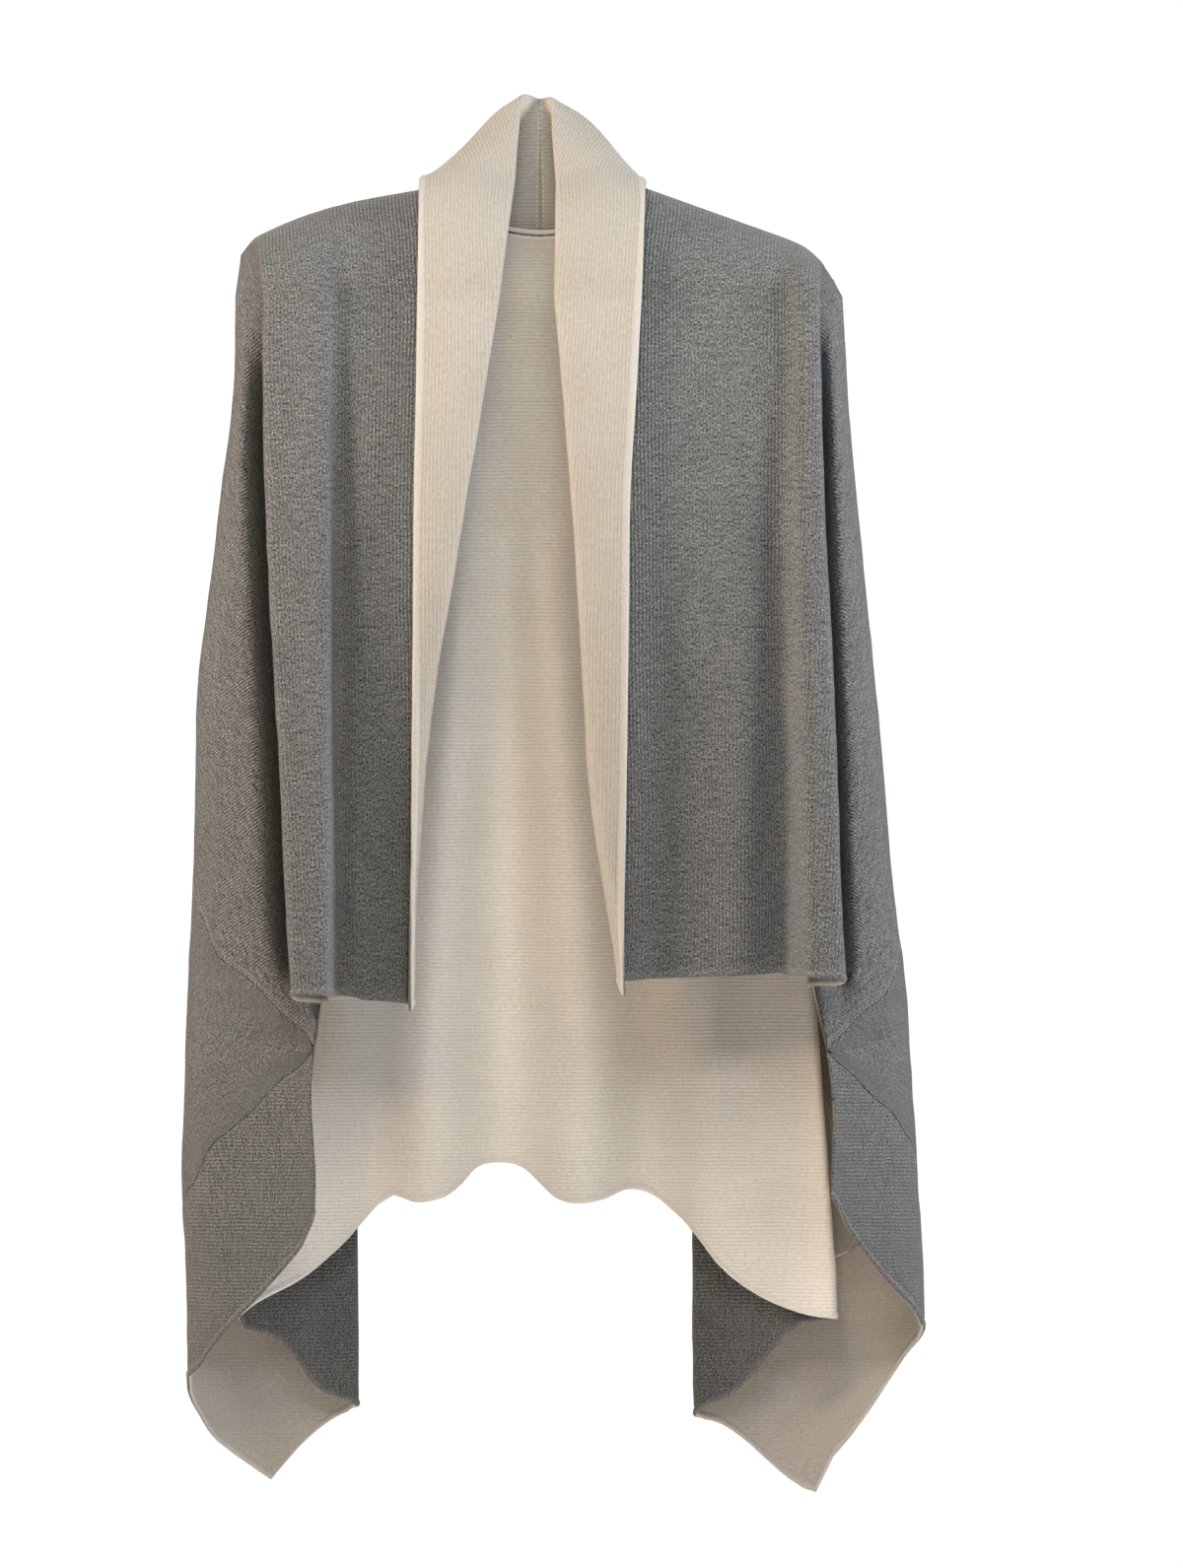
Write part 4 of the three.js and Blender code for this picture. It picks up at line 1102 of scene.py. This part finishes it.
# A warm and a cool light in front with two white ones between them, a warm window to the
# left, a cooler one to the right, a pale one above and one behind. Each is turned and raised
# in degrees about the point aimed at, and away from it and sized in metres.
lights = {
    "frontFar": (0, 15, 2.2, 0.25, 5.9, "#fff6ee"),
    "frontWarm": (-15, 16, 2.2, 0.25, 5.3, "#ffd296"),
    "frontCool": (15, 16, 2.2, 0.25, 5.6, "#a6d2ff"),
    "frontNear": (0, 25, 1.2, 0.3, 4.6, "#fff6ed"),
    "windowLeft": (-70, 20, 2.0, 0.6, 40, "#fff0e4"),
    "windowLeftHigh": (-70, 45, 1.6, 0.6, 4, "#ffdcc8"),
    "windowRight": (76, 20, 2.0, 0.6, 46, "#f4f4fc"),
    "above": (0, 60, 1.5, 1.0, 6, "#d1f3ff"),
    "behind": (180, 12, 2.4, 1.2, 45, "#fffaf4"),
}
for name, (turn, rise, away, size, energy, tint) in lights.items():
    lamp = bpy.data.lights.new(name, "AREA")
    lamp.size, lamp.energy, lamp.color = size, energy, colour(tint)[:3]
    turn, rise = radians(turn), radians(rise)
    offset = Vector((away * sin(turn) * cos(rise),
                     -away * cos(turn) * cos(rise), away * sin(rise)))
    lit = addObject(name, lamp)
    lit.location = offset + Vector((0, 0, studio["aimHeight"]))
    lit.rotation_euler = offset.to_track_quat("Z", "Y").to_euler()

# The backdrop is white to the camera and nearly dark to the cloth.
world = bpy.data.worlds.new("studio")
bpy.context.scene.world = world
add = freshNodes(world)
litWorld, seenWorld = [add("ShaderNodeBackground", {
    "Color": (1, 1, 1, 1), "Strength": studio[key]}) for key in ("litWorld", "seenWorld")]
cameraRay = add("ShaderNodeLightPath", output="Is Camera Ray")
both = add("ShaderNodeMixShader", {0: cameraRay, 1: litWorld, 2: seenWorld})
add("ShaderNodeOutputWorld", {"Surface": both})

lens = bpy.data.cameras.new("camera")
lens.sensor_fit = "HORIZONTAL"
lens.sensor_width = studio["filmWidth"]
lens.lens = -studio["filmWidth"] * studio["eye"][1] / studio["viewWidth"]
lens.clip_end = 100
camera = addObject("camera", lens)
camera.location = studio["eye"]
camera.rotation_euler = (pi / 2, 0, 0)
bpy.context.scene.camera = camera
bpy.context.scene.view_settings.view_transform = "Standard"
print("studio made")
